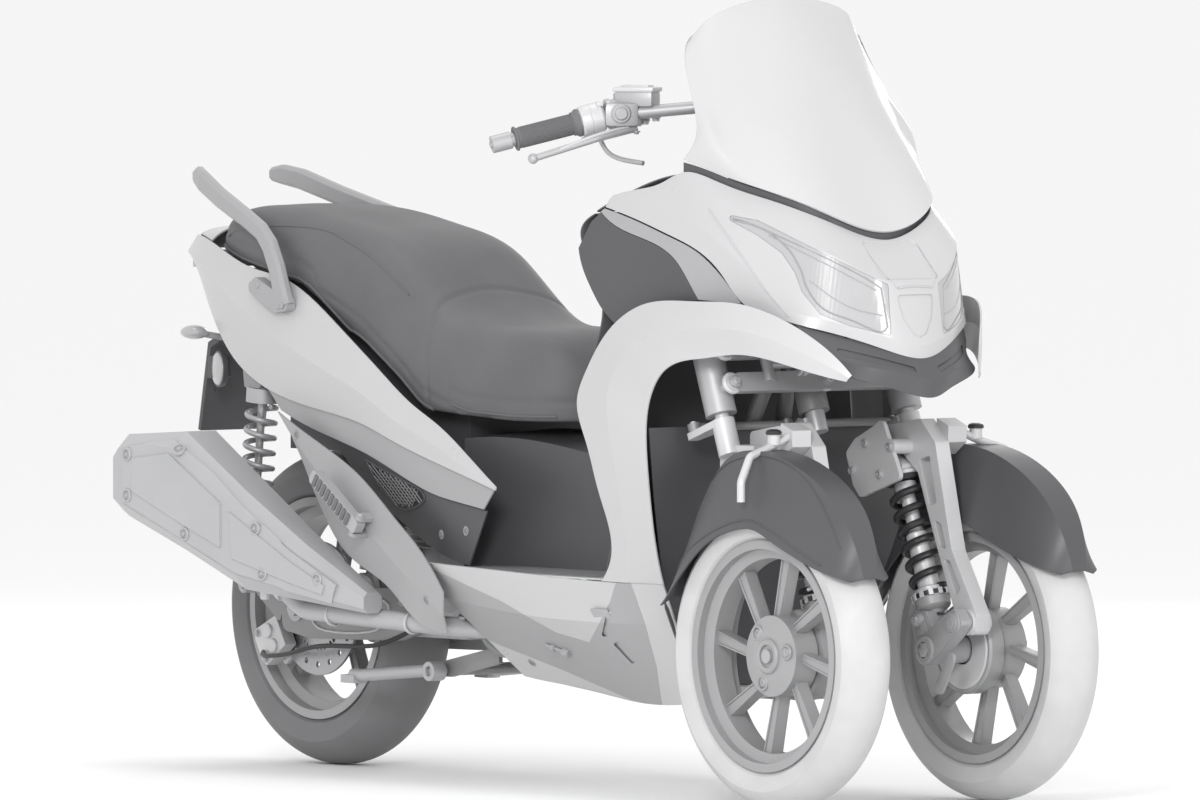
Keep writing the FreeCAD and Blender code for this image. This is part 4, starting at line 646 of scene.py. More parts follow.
def shock_coil(side):
    """The painted surface of the coil, which follows the spring under it."""
    upright_way = UP.rotation_difference(SHOCK_WAY)
    turns, per_turn, first, last = 6.5, 24, 39.3, SHOCK_LONG - 25.3
    helix = []
    for i in range(int(turns * per_turn) + 1):
        out = upright_way @ round_way(FORWARD, LEFT, math.tau * i / per_turn)
        rise = first + (last - first) * i / (turns * per_turn)
        helix.append(SHOCK_FOOT + (SHOCK_WAY * rise + out * 27) * MM)
    side_piece("shock_coil", "knuckle", side, "shock_steel", [swept(helix, 6.6, 10)])


def knuckle_details(side):
    """The bolts on one upright and the bars of its links."""
    steel = hex_bolts(RIGHT, 11, 9, corner(71, 88, 49)) + hex_bolts(RIGHT, 14, 11, corner(0, 88, 0))
    steel += hex_bolts(RIGHT, 8, 6, corner(-20, 78, 50)) + hex_bolts(LEFT, 8, 4.5, corner(71, 154, 49))
    plate = ((-160, 348), (-92, 344), (-196, 300), (-120, 296))
    steel += cap_screws(RIGHT, 7.5, 5.5, *(corner(x, 78, z) for x, z in plate))
    nut = [(1, 0), (1, 15), (8, 15), (10, 12), (10, 7), (14, 6), (14, 0)]
    steel += [turned(on_king(782, KING_SIDE), STEER_AXIS, nut, 6)]
    side_piece("knuckle_bolts", "knuckle", side, "machine_grey", steel)
    bars = [stadium(corner(0, LINK_FACE, 0), corner(71, LINK_FACE, 49), 25, 20, RIGHT * 5 * MM),
            stadium(corner(0, LINK_FACE, 0), corner(-24, LINK_FACE, 51), 22, 13, RIGHT * 3.5 * MM),
            stadium(corner(64, 92, -12), corner(33, 92, -64), 10, 11, RIGHT * 6 * MM),
            turned(corner(0, 83, 0), RIGHT, [(0, 14), (0, 25), (3, 25), (5, 22), (5, 14)], 36),
            turned(corner(71, 83, 49), RIGHT, [(0, 9), (0, 16), (2, 16), (3, 14), (3, 9)], 28)]
    side_piece("link_bars", "knuckle", side, "cast_wheel", bars)


def stadium(first, second, first_radius, second_radius, thickness):
    """A flat link with a round eye at each end."""
    steps = 12
    way = (second - first).normalized()
    side_way = way.cross(thickness.normalized())
    outline = []
    for centre, radius, sign in ((first, first_radius, -1), (second, second_radius, 1)):
        for i in range(steps + 1):
            out = round_way(way, side_way, math.pi * (i / steps - 0.5))
            outline.append(centre + out * sign * radius * MM)
    return block(outline, thickness, 1.2)


def lean_details():
    """Heads of the pivots, and the collars and the pipe of the lean lock."""
    collar = [(0, 9), (0, 19), (5, 19), (7, 16), (7, 9)]
    steel, collars = [], []
    for height in (702, 758):
        for y in (KING_SIDE, 0, -KING_SIDE):
            pivot = on_king(height, y)
            steel += hex_bolts(AHEAD, 7.4, 6, pivot + AHEAD * 59 * MM)
            collars.append(turned(pivot + AHEAD * 44 * MM, AHEAD, collar, 32))
    lock = on_king(730, 0) + AHEAD * 53 * MM
    for y in (-62, -50, 44, 56):
        collars.append(turned(lock + LEFT * y * MM, LEFT, [(0, 19), (0, 22.5), (6, 22.5), (6, 19)], 36))
    fixed("lean_pivot_bolts", "machine_grey", steel)
    fixed("lean_lock_collars", "cast_arm", collars)
    pipe = eased([lock + (LEFT + UP) * 20 * MM, lock + Vector((10, 50, 50)) * MM,
                  on_king(800, 60) + AHEAD * 40 * MM, on_king(860, 40) + AHEAD * 20 * MM], 8)
    fixed("lean_lock_pipe", "shock_steel", [swept(pipe, 4.5, 10)])


def fender_lines():
    """The crease along each fender's outer flank, the seam under it and the cap on its strap."""
    crease = [(1350, 470), (1400, 548), (1466, 590), (1560, 600), (1650, 576), (1720, 520), (1770, 452)]
    seam = [(1320, 380), (1352, 420), (1426, 462), (1505, 488), (1560, 492), (1618, 474), (1680, 448),
            (1740, 424)]
    cap = [turned(corner(-33, 218, 374), UP, [(0, 11), (0, 13.5), (4, 14), (7, 12), (9, 7), (9, 0)], 28)]
    for side, sign in (("right", -1), ("left", 1)):
        seen = (RIGHT * sign, lambda x, z, s=sign: at(x, s * 420, z))
        node = "fender_" + side
        lines = bead(node, crease, seen, 2.4, 0.3) + bead(node, seam, seen, 2.4, 0.7)
        piece("fender_creases_" + side, "knuckle_" + side, "dark_grey_panel", lines)
        side_piece("fender_cap", "knuckle", side, "shock_steel", cap)


# Handlebar

CAST_TURN = -35
RESERVOIR = at(1056, 150, 1195)
PERCH_FACE = Vector((0.864, 0.504, 0))


def grip_ribs():
    """The grip's rings, the fine ribs along it and the flange at each end."""
    rings = [GRIP_START + i * 3.4 for i in range(26)]
    rubber = [turned(BAR_END, BAR_WAY, [(s, 17.2), (s + 0.5, 18.2), (s + 1.9, 18.2), (s + 2.4, 17.2)], 32)
              for s in rings]
    across, up = square_to(BAR_WAY)
    for i in range(30):
        out = round_way(across, up, math.tau * i / 30) * 17.9 * MM
        rubber.append(swept([on_bar(GRIP_START) + out, on_bar(GRIP_END) + out], 0.7, 6))
    outer = [(41, 11.4), (41, 20), (42, 21.4), (44.5, 21.4), (46, 18), (50, 18), (50, 17)]
    inner = [(143, 17), (144, 19), (149, 21), (153, 24), (156, 24.5), (157, 22), (157, 11.4)]
    return rubber + [turned(BAR_END, BAR_WAY, outer, 32), turned(BAR_END, BAR_WAY, inner, 36)]


def reservoir_casting():
    """The fluid reservoir, the perch it stands on, the bar's clamp and the lever's seat."""
    perch = [at(1018, 170, 1147), at(1050, 217, 1147), at(1081, 166, 1147), at(1048, 129, 1147)]
    clamp = [(206, 12), (206, 24), (209, 28), (216, 28), (218, 25), (240, 25), (243, 22), (243, 12)]
    seat = [(-6, 17), (5, 17), (7, 15), (7, 11), (12, 10.5), (13, 9), (13, 0)]
    return [box_at(RESERVOIR, (69, 51, 28), 7.0, CAST_TURN), block(perch, UP * 42 * MM, 9.0),
            turned(BAR_END, BAR_WAY, clamp, 48), turned(at(1062, 190, 1170), PERCH_FACE, seat, 36)]


def control_buttons():
    """The lid, the ring of the switch drum, the pipe unions, the clamps and the lever's rib."""
    ring = [(158, 20), (159, 25), (162, 27), (176, 27.4), (176.6, 26.8), (178.4, 26.8),
            (179, 27.4), (196, 27), (201, 23), (203, 18), (203, 12)]
    light = [box_at(on_bar(186) + Vector((12, 0, 25)) * MM, (18, 12, 8), 2.4, 26),
             turned(BAR_END, BAR_WAY, ring, 48),
             box_at(RESERVOIR + UP * 16 * MM, (74, 56, 9), 4.2, CAST_TURN),
             box_at(RESERVOIR + UP * 21.5 * MM, (50, 32, 4), 1.6, CAST_TURN)]
    for x, y, length in ((1052, 130, 26), (1072, 122, 20), (1034, 150, 22)):
        union = [(0, 0), (0, 9), (length - 6, 8.5), (length - 4, 6.5), (length, 6), (length, 3.4),
                 (length - 3, 3), (length - 3, 0)]
        light.append(turned(at(x, y, 1176), -UP, union, 24))
    for reach in (6, 28):
        collar = [(reach, 11.4), (reach, 17), (reach + 9, 17), (reach + 9, 11.4)]
        light.append(turned(BAR_BEND, Vector((0.7, -0.7, 0.1)), collar, 32))
    rib = eased([at(1064, 176, 1147), at(1056, 236, 1134), at(1026, 300, 1108)], 8)
    return light + [swept(rib, 4.2, 8, 0.7)]


def control_screws():
    """The screws of the switch drum, the lid, the perch and the lever, and the sight glass."""
    turn = Matrix.Rotation(math.radians(CAST_TURN), 3, "Z")
    under, lid = Vector((4, 0, -27.5)) * MM, RESERVOIR + UP * 18.5 * MM
    steel = cap_screws(-BAR_WAY, 6, 3, BAR_END)
    steel += cap_screws(-UP, 3.4, 2, on_bar(163) + under, on_bar(194) + under)
    steel += cap_screws(PERCH_FACE, 3.6, 3, at(1070, 176, 1157), at(1070, 176, 1179))
    steel += cap_screws(UP, 3.6, 2, *(lid + turn @ FORWARD * x * MM for x in (-26, 26)))
    glass = RESERVOIR + UP * MM + turn @ BACK * 30 * MM
    steel.append(turned(glass, turn @ BACK, [(-1, 0), (-1, 8), (2, 8), (2, 6.4), (0.8, 6), (0.8, 0)], 24))
    steel += hex_bolts(UP, 6, 5, at(1066, 160, 1149)) + hex_bolts(-UP, 5, 5, at(1066, 160, 1139))
    return steel + hex_bolts(FORWARD, 6, 8, at(1064, 140, 1166))


def grips_and_controls():
    switches = [box_at(on_bar(distance) + Vector((-27, 0, 6)) * MM, lengths, 2.2, 26)
                for distance, lengths in ((168, (9, 14, 10)), (188, (9, 11, 14)))]
    guide = eased([on_bar(190) + Vector((2, 0, -22)) * MM, at(1026, 204, 1120), at(1040, 199, 1102),
                   at(1066, 192, 1092), at(1112, 180, 1086)], 8)
    guides = [swept(guide, 4.2, 12),
              turned(guide[0], guide[1] - guide[0], [(-2, 0), (-2, 7.5), (6, 7), (8, 4), (8, 0)], 20)]
    for name, slot, parts in (("reservoir_casting", "machine_grey", reservoir_casting()),
                              ("grip_ribs", "grip_rubber", grip_ribs()),
                              ("switch_trim", "dark_grey_panel", switches),
                              ("switch_buttons", "cast_arm", control_buttons()),
                              ("control_screws", "machine_grey", control_screws()),
                              ("cable_guides", "machine_grey", guides)):
        piece(name, "steering", slot, both(parts))
    clamp = [turned(on_king(1150, 0), STEER_AXIS, [(0, 0), (0, 13), (10, 13), (12, 11), (12, 0)], 6)]
    clamp += cap_screws(UP, 6.5, 6, *(at(1142, y, 1200) for y in (-26, 26)))
    clamp += cap_screws(Vector((0.84, 0, 0.54)), 6.5, 6, *(at(1188, y, 1175) for y in (-26, 26)))
    piece("bar_clamp_screws", "steering", "machine_grey", clamp)


DIAL_WAY = Vector((-0.84, 0, 0.54)).normalized()
DIAL_UP = DIAL_WAY.cross(LEFT)


def dial(spot, r=34):
    """A dial's rim, its glass and the marks round its face."""
    rim = [turned(spot, DIAL_WAY, [(-2, r), (4, r), (6, r - 2), (6, r - 4), (1.5, r - 5)], 48),
           turned(spot, DIAL_WAY, [(2, 0), (2, 4), (5, 3.4), (5, 0)], 20)]
    for k in range(13):
        across = round_way(DIAL_UP, LEFT, math.radians(260 * k / 12 - 130))
        ends = ((r - 9, 2.4), (r - 5.4, 2.2))
        rim.append(swept([spot + (across * out + DIAL_WAY * lift) * MM for out, lift in ends], 0.7, 6))
    return rim, turned(spot, DIAL_WAY, [(-2, 0), (-2, r - 4), (1.6, r - 4), (2.6, 0)], 48)


def cockpit():
    """The instrument housing on the dash, the lock and the lid in the inner shield."""
    half = 104
    profile = [(1262, 1034), (1246, 1066), (1268, 1100), (1318, 1112), (1352, 1078), (1356, 1034)]
    brow = [(1252, 1102), (1262, 1110), (1322, 1122), (1362, 1084), (1352, 1078), (1318, 1112)]
    housing = [side_plate(profile, -half, 2 * half, 7), side_plate(brow, -half - 6, 2 * half + 12, 2)]
    fixed("instrument_housing", "dark_grey_panel", housing)
    middle = at(1256, 0, 1082)
    bezels, glasses = [], []
    for y in (-58, 58):
        rim, glass = dial(middle + LEFT * y * MM)
        bezels += rim
        glasses.append(glass)
    screen = [middle + (LEFT * 17 * a + DIAL_UP * 20 * b) * MM for a, b in SQUARE]
    glasses.append(block(screen, DIAL_WAY * 2.4 * MM, 0.8))
    fixed("instrument_bezels", "machine_grey", bezels)
    fixed("instrument_glasses", "shock_steel", glasses)
    place = landed("inner_shield", at(700, -104, 912), FORWARD)[0]
    lock = [turned(place, BACK, [(-6, 22), (3, 22), (6, 19), (6, 14), (9, 13), (9, 0)], 36),
            box_at(place + BACK * 9.4 * MM, (2, 2.4, 13), 0.5)]
    fixed("ignition_lock", "machine_grey", lock)
    outline = [(44, 760), (214, 764), (220, 790), (212, 884), (196, 896), (52, 898), (40, 884), (38, 776)]
    lid = overlay("inner_shield", outline, (FORWARD, lambda y, z: at(700, y, z)), 3.0, 16)
    place = landed("inner_shield", at(700, 128, 872), FORWARD)[0]
    latch = [turned(place, BACK, [(0, 15), (5, 15), (7, 13), (7, 0)], 32),
             box_at(place + BACK * 7.6 * MM, (3, 4, 18), 1)]
    fixed("glove_box_lid", "dark_grey_panel", [lid])
    fixed("glove_box_latch", "machine_grey", latch)


# Bodywork


def nose_lines():
    """Ridges beside and between the lamps, and the frame inside each lamp's edge."""
    ridge = [(640, 1016), (690, 946), (735, 884), (776, 836)]
    frame_line = [(664, 1000), (724, 986), (932, 884), (938, 812), (881, 830), (834, 849), (807, 882),
                  (795, 915), (772, 952), (728, 984), (664, 1000)]
    reflectors = ([(742, 972), (800, 944), (860, 914), (924, 880)],
                  [(812, 896), (850, 868), (890, 848), (934, 838)])
    lines = []
    for name, sign in (("right", -1), ("left", 1)):
        facing, along = Vector((FACING.x, FACING.y * -sign, 0)), Vector((ALONG.x, ALONG.y * -sign, 0))
        seen = (-facing, lambda u, z, f=facing, a=along: at(0, 0, z) + (a * u + f * 1900) * MM)
        lines += bead("nose_cowl", ridge, seen, 3.0, 0.45, 10, 0.3)
        edge = bead("headlamps", frame_line, seen, 2.2, 0.6, 6, 0.2)
        fixed("lamp_frame_" + name, "light_grey_panel", edge)
        ribs = [rib for line in reflectors for rib in bead("headlamps", line, seen, 1.6, 0.6, 8, 0.2)]
        fixed("lamp_ribs_" + name, "lamp_lens", ribs)
    for sign in (-1, 1):
        edge = [(sign * 38, 884), (sign * 48, 905), (sign * 56, 950)]
        lines += bead("nose_cowl", edge, FROM_FRONT, 2.4, 0.5, 8, 0.3)
    lines += bead("nose_cowl", [(-36, 884), (0, 886), (36, 884)], FROM_FRONT, 3.2, 0.6, 8, 0.2)
    fixed("nose_ridges", "white_panel", lines)


def panel_screws():
    """The small fasteners that hold the panels, set on their faces."""
    heads, cups = [], []
    spots = {"step_panels": [(650, 440), (560, 430)], "peg_panels": [(150, 590), (600, 320)],
             "lower_fairings": [(760, 215), (960, 195), (1120, 195)]}
    for node, places in spots.items():
        for place, normal in all_landed(node, places, FROM_RIGHT):
            cups.append(turned(place, normal, [(-1, 8.4), (0.9, 8.4), (1.4, 7.6), (0.5, 6), (0.5, 0)], 24))
            heads += cap_screws(normal, 5.2, 2.2, place)
    fixed("panel_screw_cups", "light_grey_panel", both(cups))
    fixed("panel_screws", "steel_tube", both(heads))


def foot_mats():
    """Rubber strips on both foot boards."""
    middle, board_top = 182, 375.6
    strips = []
    for y in range(middle - 50, middle + 51, 20):
        x0, x1 = 640 + abs(y - middle) * 0.25, 1064 - abs(y - middle) * 0.2
        outline = [(x0, y - 4), (x1, y - 4), (x1 + 6, y), (x1, y + 4), (x0, y + 4), (x0 - 6, y)]
        strips.append(block([at(*spot, board_top) for spot in outline], UP * 3.2 * MM, 1.1))
    fixed("foot_board_strips", "grip_rubber", both(strips))


def side_mesh():
    """A woven grille over the dark side under the grey band."""
    outline = [(312, 552), (352, 540), (430, 522), (500, 506), (508, 486), (446, 470), (392, 472),
               (338, 508)]
    back_plate = overlay("step_panels", outline, FROM_RIGHT, 0.8, 14)
    low, pitch, step_long, steps = min(p[0] for p in outline), 11, 9, 24
    wires = []
    for slope, lowest in ((1, 470), (-1, 560)):
        for k in range(-10, 34):
            reach = [step * step_long for step in range(steps)]
            line = [(low + x, lowest + slope * x * 0.8 + k * pitch) for x in reach]
            line = [spot for spot in line if inside(spot, outline)]
            found = all_landed("step_panels", line, FROM_RIGHT)
            wire = [place + normal * 1.4 * MM for place, normal in found]
            if len(wire) > 2:
                wires.append(swept(wire, 1.1, 6))
    rim_line = bead("step_panels", outline + outline[:1], FROM_RIGHT, 3.0, 0.7, 5, 0.0)
    fixed("side_grille_back", "shock_steel", both([back_plate]))
    fixed("side_grille_wires", "steel_tube", both(wires))
    fixed("side_grille_frame", "dark_grey_panel", both(rim_line))


def inside(spot, outline):
    x, y = spot
    crossings = False
    for (x0, y0), (x1, y1) in zip(outline, outline[1:] + outline[:1]):
        if (y0 > y) != (y1 > y) and x < (x1 - x0) * (y - y0) / (y1 - y0) + x0:
            crossings = not crossings
    return crossings


def sill_backing():
    """Plates behind the two slots in each sill, set deep, and the catch on the sill's lower strip."""
    deep = (ALONG * 14 + FACING * 25) * MM
    plates = []
    for u, z, tall, wide in ((480, 297, 64, 44), (511, 248, 66, 74)):
        for place, normal in all_landed("sill_strips", [(u, z)], FROM_CORNER):
            across, up = square_to(normal)
            across, up = across * wide / 2 * MM, up * tall / 2 * MM
            outline = [place - deep + across * a + up * b for a, b in SQUARE]
            plates.append(block(outline, -normal * 3 * MM, 0.8))
    fixed("sill_ducts", "machine_grey", both(plates))
    place, normal = landed("sill_strips", at(905, 500, 243), RIGHT)
    along = (FORWARD - UP * 0.36).normalized()
    along = (along - normal * along.dot(normal)).normalized()
    pin = place + normal * 3 * MM
    catch = [swept([pin - along * 44 * MM, pin], 3.2, 12),
             turned(pin, along, [(-2, 0), (-2, 5), (0, 8), (12, 8), (14, 6.5), (14, 0)], 28),
             turned(pin, along, [(-30, 3), (-30, 6), (-22, 6), (-22, 3)], 20)]
    fixed("sill_catches", "light_grey_panel", both(catch))


PEG_START = at(392, 256, 441)
PEG_WAY = Vector((-0.826, 0, 0.564)).normalized()
PEG_OVER = Vector((PEG_WAY.z, 0, -PEG_WAY.x))


def peg_rubbers(side):
    slabs = []
    for k in range(9):
        middle = PEG_START + PEG_WAY * (20 + k * 14) * MM + LEFT * 8.6 * MM
        corners = [middle + (PEG_WAY * 4.5 * a + PEG_OVER * 11 * b) * MM for a, b in SQUARE]
        slabs.append(block(corners, LEFT * 3.4 * MM, 1.2))
    side_piece("peg_rubber", "peg", side, "grip_rubber", slabs)
    head = hex_bolts(PEG_OVER, 5, 4, PEG_START + PEG_OVER * 21 * MM)
    side_piece("peg_pin_head", "peg", side, "machine_grey", head)


def tail():
    """Lens bars of the tail lamp, round reflectors, the plate lamp and the rail's fixings."""
    bars = []
    for y0, y1 in ((-84, -34), (-26, 26), (34, 84)):
        middle = (y0 + y1) / 2
        place = landed("tail_lamp", at(-700, middle, 883), FORWARD)[0]
        for z in (876, 883, 890):
            bars.append(box_at(Vector((place.x, middle * MM, z * MM)), (5, y1 - y0, 4.6), 1.6))
    fixed("tail_lamp_bars", "lamp_lens", bars)
    spot, axis = at(-239, 92, 690), Vector((-0.30, 0.95, 0.0)).normalized()
    dome = [(-3, 0), (-3, 29), (2, 29), (4, 27), (4, 25.5), (5.4, 20), (6.4, 10), (6.6, 0)]
    brackets = [side_plate([(-272, 712), (-236, 712), (-232, 676), (-276, 672)], 66, 24, 2),
                turned(spot, axis, [(-8, 0), (-8, 31), (-3, 32), (1, 32), (1, 29)], 48)]
    fixed("side_reflectors", "lamp_lens", both([turned(spot, axis, dome, 48)]))
    fixed("reflector_brackets", "dark_grey_panel", both(brackets))
    lamp = [box_at(at(-306, 0, 730), (16, 60, 14), 3.5), box_at(at(-309, 0, 722), (12, 48, 4), 1)]
    fixed("plate_lamp", "dark_grey_panel", lamp)
    fixings = []
    for place, normal in all_landed("grab_rails", [(108, 814), (34, 848)], FROM_RIGHT):
        fixings += cap_screws(normal, 5.5, 2.2, place)
    fixed("rail_screws", "machine_grey", both(fixings))


# Machinery


def silencer_cover():
    """The cover's raised faces, with the screws in their cups."""
    outline = [(-222, 556), (-84, 574), (20, 520), (112, 462), (236, 392), (344, 336), (330, 306),
               (240, 322), (100, 348), (-64, 408), (-222, 462)]
    inset = [(-190, 540), (-84, 552), (60, 470), (60, 392), (-64, 436), (-190, 482)]
    lower = [(84, 456), (232, 376), (318, 334), (312, 318), (238, 336), (92, 374)]
    faces = [overlay("exhaust", line, FROM_RIGHT, lift, cell)
             for line, lift, cell in ((outline, 5.0, 16), (inset, 8.0, 14), (lower, 7.5, 14))]
    fixed("silencer_cover", "silencer_cover", faces)
    cup = [(3, 12), (7.4, 12), (8.4, 10.8), (8.4, 9), (5.4, 8), (5.4, 0)]
    screws, cups = [], []
    places = [(-206, 546), (-206, 474), (-60, 556), (-40, 412), (150, 428), (168, 350), (300, 344)]
    for place, normal in all_landed("exhaust", places, FROM_RIGHT):
        cups.append(turned(place, normal, cup, 28))
        screws += hex_bolts(normal, 4.6, 4, place + normal * 5.2 * MM)
    fixed("silencer_screw_cups", "silencer_cover", cups)
    return screws


def exhaust_details():
    """The silencer's cover and outlet, the pipe's clamps and the sensor with its lead."""
    screws = silencer_cover()
    end = at(-266, -258, 503)
    cap = [(-2, 38), (4, 37), (8, 30), (8, 24), (20, 22), (22, 20.5), (22, 18.5), (4, 18), (4, 0)]
    screws += hex_bolts(BACK, 4, 4, *(end + (LEFT * 30 * a + UP * 38 * b) * MM for a, b in SQUARE))
    fixed("silencer_outlet", "machine_grey", [turned(end, BACK, cap, 48)])
    way = Vector((-0.787, -0.127, 0.6)).normalized()
    joint = at(118, -213, 322)
    sleeve = [(-13, 17), (-13, 21.5), (-10, 22.5), (10, 22.5), (13, 21.5), (13, 17)]
    clamp = [turned(joint, way, sleeve, 36),
             box_at(joint + Vector((16, 0, 24)) * MM, (22, 12, 16), 2)]
    screws += hex_bolts(RIGHT, 5, 5, joint + Vector((16, -6, 26)) * MM)
    for x in (250, 480):
        band = [(0, 17), (0, 20), (5, 20), (5, 17)]
        clamp.append(turned(at(x, -202, 280 - 8 * (x - 170) / 390), FORWARD, band, 32))
    clamp.append(side_plate([(86, 300), (104, 300), (110, 372), (80, 372)], -240, 8, 1.5))
    fixed("exhaust_clamps", "cast_arm", clamp)
    fixed("exhaust_screws", "machine_grey", screws)
    sensor = [(0, 9), (0, 10), (8, 10), (8, 6), (26, 6), (30, 4), (36, 3), (36, 0)]
    lead = eased([at(606, -186, 318), at(590, -184, 340), at(540, -160, 350), at(520, -120, 360)], 8)
    fixed("exhaust_sensor", "machine_grey", [turned(at(600, -180, 284), Vector((0.2, -0.2, 1)), sensor, 6)])
    fixed("exhaust_sensor_lead", "shock_steel", [swept(lead, 3, 8)])


def engine():
    """Covers, fins and bolts on the engine's right side."""
    face = -78
    crank, shaft = at(446, face, 322), at(352, face, 300)
    covers = [turned(crank, RIGHT, [(-2, 72), (8, 72), (12, 68), (13, 40), (17, 36), (17, 0)], 56),
              turned(shaft, RIGHT, [(-2, 34), (10, 34), (13, 30), (13, 0)], 40)]
    bolts = bolt_circle(crank + RIGHT * 10 * MM, RIGHT, 8, 64, 4.4, 4)
    bolts += bolt_circle(shaft + RIGHT * 10 * MM, RIGHT, 4, 26, 3.8, 4, 0.5)
    fin = [(306, face + 2), (400, face + 2), (396, face - 14), (310, face - 14)]
    for z in range(396, 474, 11):
        covers.append(block([at(*spot, z) for spot in fin], UP * 3 * MM, 0.7))
    covers.append(turned(at(330, -96, 372), LEFT, [(-14, 0), (-14, 22), (-10, 25), (20, 25), (20, 0)], 32))
    filler = [(0, 13), (10, 13), (10, 16), (16, 16), (18, 13), (18, 0)]
    fixed("engine_covers", "machine_grey", covers)
    fixed("engine_bolts", "disc_steel", bolts)
    fixed("oil_filler", "shock_steel", [turned(at(508, face - 2, 280), Vector((0.3, -1, 0.3)), filler, 12)])


def belt_case():
    """Covers, ribs and bolts on the case of the belt, on the left side."""
    face = 158
    front = [(-2, 70), (6, 70), (10, 66), (10, 44), (6, 40), (6, 0)]
    rear = [(-2, 58), (6, 58), (9, 54), (9, 24), (14, 20), (14, 0)]
    covers = [turned(at(420, face, 295), LEFT, front, 56), turned(at(24, face, 284), LEFT, rear, 48)]
    ribs = [(110 + k * 25, 117 + k * 25, 236, 340, 1.6) for k in range(9)]
    for x0, x1, z0, z1, soft in ribs + [(90, 344, 224, 230, 1.5), (90, 344, 346, 352, 1.5)]:
        covers.append(side_plate([(x0, z0), (x1, z0), (x1, z1), (x0, z1)], face - 1, 6, soft))
    bolts = ((-48, 262), (-40, 318), (40, 340), (60, 218), (200, 352), (210, 216), (350, 362), (360, 222),
             (484, 262), (484, 330))
    fixed("belt_case_covers", "machine_grey", covers)
    fixed("belt_case_bolts", "disc_steel", hex_bolts(LEFT, 4.6, 4.5, *(at(x, face, z) for x, z in bolts)))


def rear_suspension():
    """The rear shocks' bolts and collars, the axle's nut and the swing arm's rib."""
    foot, head = at(-92, 130, 316), at(-52, 130, 684)
    way, long = (head - foot).normalized(), (head - foot).length / MM
    steel = hex_bolts(LEFT, 8, 7, *(spot + LEFT * 16 * MM for spot in (foot, head)))
    collars = [turned(foot, way, [(start, 18), (start, radius), (start + 6, radius), (start + 6, 18)], 32)
               for start, radius in ((96, 27), (106, 29), (132, 22))]
    cap = [(long - 20, 8), (long - 20, 24), (long - 14, 22), (long - 12, 8)]
    collars.append(turned(foot, way, cap, 32))
    fixed("rear_shock_bolts", "machine_grey", both(steel))
    fixed("rear_shock_collars", "cast_arm", both(collars))
    arm_face = -98
    middle = at(0, arm_face, REAR_Z)
    washer = [(0, 0), (0, 22), (3, 22), (3, 0)]
    axle = hex_bolts(RIGHT, 14, 12, middle) + [turned(middle, RIGHT, washer, 32)]
    small = ((-96, 300), (-60, 312), (310, 300), (330, 262))
    axle += hex_bolts(RIGHT, 5, 5, *(at(x, arm_face, z) for x, z in small))
    fixed("rear_axle_nut", "machine_grey", axle)
    corners = ((66, 246), (236, 248), (262, 300), (66, 308))
    rib = eased([at(x, arm_face - 1, z) for x, z in corners], 6, True)
    fixed("swingarm_rib", "cast_arm", [swept(rib, 3, 8, 0.8, True)])


def stand_details():
    fixed("stand_pivot_bolts", "machine_grey", both(hex_bolts(LEFT, 9, 6, at(443, 128, 186))))
    piece("stand_foot_pads", "stand", "grip_rubber", both([box_at(at(233, 146, 160), (34, 24, 5), 1.8)]))


# Seat

SEAT_FOOT = [(-240, 908), (-100, 880), (100, 850), (148, 830), (152, 802), (290, 752), (400, 688),
             (470, 644), (548, 622), (552, 648), (600, 636), (700, 630), (820, 630)]
SEAT_STEP_X = 438
FULL_HEIGHT = 90


def seat_cushion():
    """The seat's cover over soft foam, with a groove at its step."""
    source = nodes["seat"]
    mesh = source.data.copy()
    mesh.transform(source.matrix_world)
    cushion = bpy.data.objects.new("seat_cushion", mesh)
    bpy.context.scene.collection.objects.link(cushion)
    remesh = cushion.modifiers.new("even_faces", "REMESH")
    remesh.mode = "VOXEL"
    remesh.voxel_size = 5.5 * MM
    soften = cushion.modifiers.new("soft", "SMOOTH")
    soften.factor = 0.5
    soften.iterations = 3
    bpy.context.view_layer.update()
    shaped = bpy.data.meshes.new_from_object(cushion.evaluated_get(bpy.context.evaluated_depsgraph_get()))
    cushion.modifiers.clear()
    cushion.data = shaped
    shaped.materials.clear()
    shaped.materials.append(finishes["seat_cover"])
    shape_foam(shaped)
    shaped.shade_smooth()
    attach(cushion, "seat_lid")
    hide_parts("seat")


def foot_height(x):
    """How high the seat's foot is at a distance along it."""
    for (x0, z0), (x1, z1) in zip(SEAT_FOOT, SEAT_FOOT[1:]):
        if x <= x1:
            return z0 + (z1 - z0) * (max(x, x0) - x0) / (x1 - x0)
    return SEAT_FOOT[-1][1]


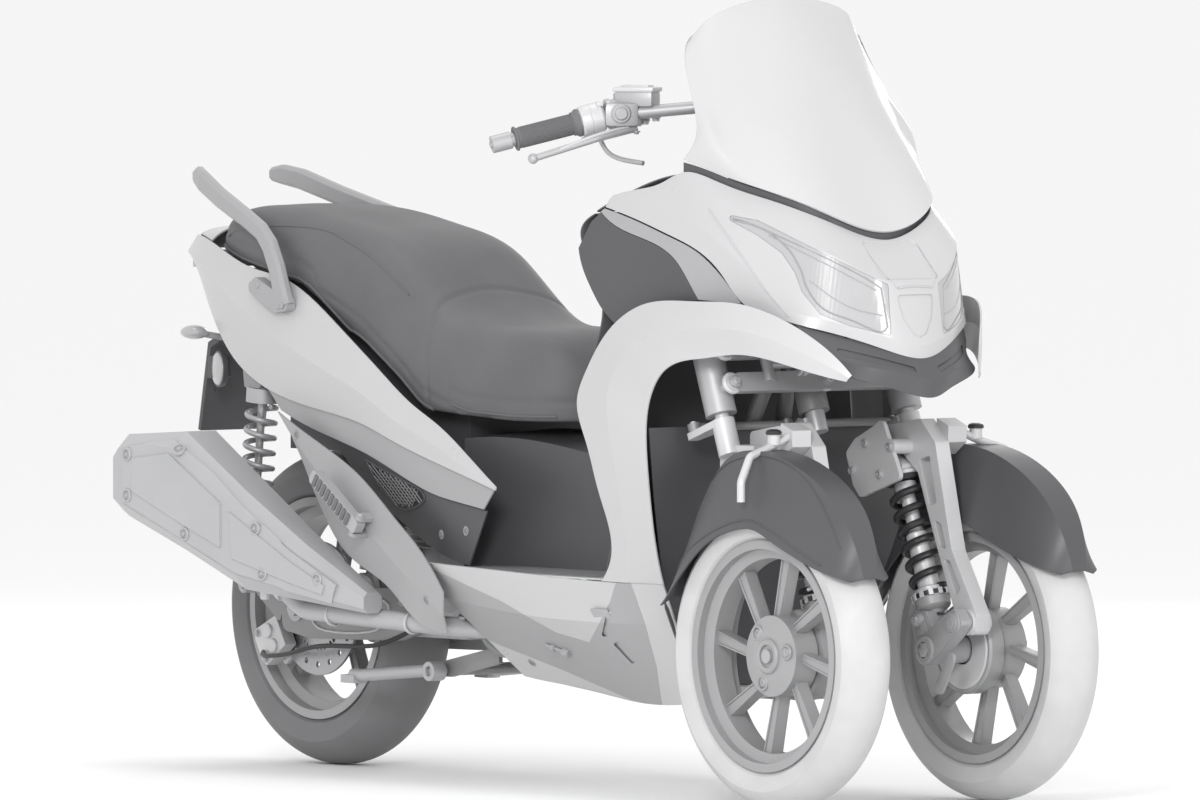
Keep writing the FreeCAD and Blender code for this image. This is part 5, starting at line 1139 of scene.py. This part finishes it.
def shape_foam(mesh):
    """Grooves at the seams and a slight fullness of the foam between them."""
    normals = [v.normal.copy() for v in mesh.vertices]
    for vertex, normal in zip(mesh.vertices, normals):
        x, y, z = (vertex.co.x - REAR_AXLE_X) / MM, vertex.co.y / MM, vertex.co.z / MM
        above = z - foot_height(x)
        if above < 4:
            continue
        from_step = abs(x - (SEAT_STEP_X + 0.0016 * y * y))
        from_seam = abs(above - 34 - 0.03 * max(0, 300 - abs(x - 200)))
        groove = 3.2 * math.exp(-(from_step / 5.0) ** 2) * min(1, above / 30)
        groove += 2.4 * math.exp(-(from_seam / 4.5) ** 2)
        full = 1.6 * math.sin(min(1, above / FULL_HEIGHT) * math.pi)
        full += 0.9 * math.sin(x / 46.0) * math.exp(-(y / 120) ** 2)
        vertex.co += normal * (full * 0.6 - groove) * MM


def seat_piping():
    """The welt round the seat's foot, in two runs a side, and the seam along its shoulder."""
    lines = []
    for side in (1, -1):
        level = (RIGHT * side, lambda x, lift, s=side: at(x, s * 420, foot_height(x) + lift))
        slanting = (Vector((0, -side, -0.86)),
                    lambda x, lift, s=side: at(x, s * 460, foot_height(max(x, 152)) + lift))
        for start, end in ((-226, 542), (562, 782)):
            count = int((end - start) / 20)
            run = [(start + (end - start) * k / count, 9) for k in range(count + 1)]
            welt = [place for place, _ in all_landed("seat", run, level)]
            lines.append(swept(eased(welt, 3), 3.0, 10))
        run = [(-205 + k * 47, 420) for k in range(14)]
        seam = [place - normal * 0.4 * MM for place, normal in all_landed("seat", run, slanting)]
        lines.append(swept(eased(seam, 6), 2.0, 10))
    piece("seat_piping", "seat_lid", "seat_cover", lines)


def everything():
    for side in ("right", "left"):
        front_wheel(side)
        shock(side)
        knuckle_details(side)
        shock_coil(side)
        peg_rubbers(side)
    for details in (rear_wheel, rear_caliper, lean_details, fender_lines, grips_and_controls, cockpit,
                    nose_lines, panel_screws, foot_mats, side_mesh, sill_backing, tail, exhaust_details,
                    engine, belt_case, rear_suspension, stand_details, seat_piping, seat_cushion):
        details()


camera_at_photo_angle()
studio()
make_finishes()
floor()
dress_nodes()
everything()
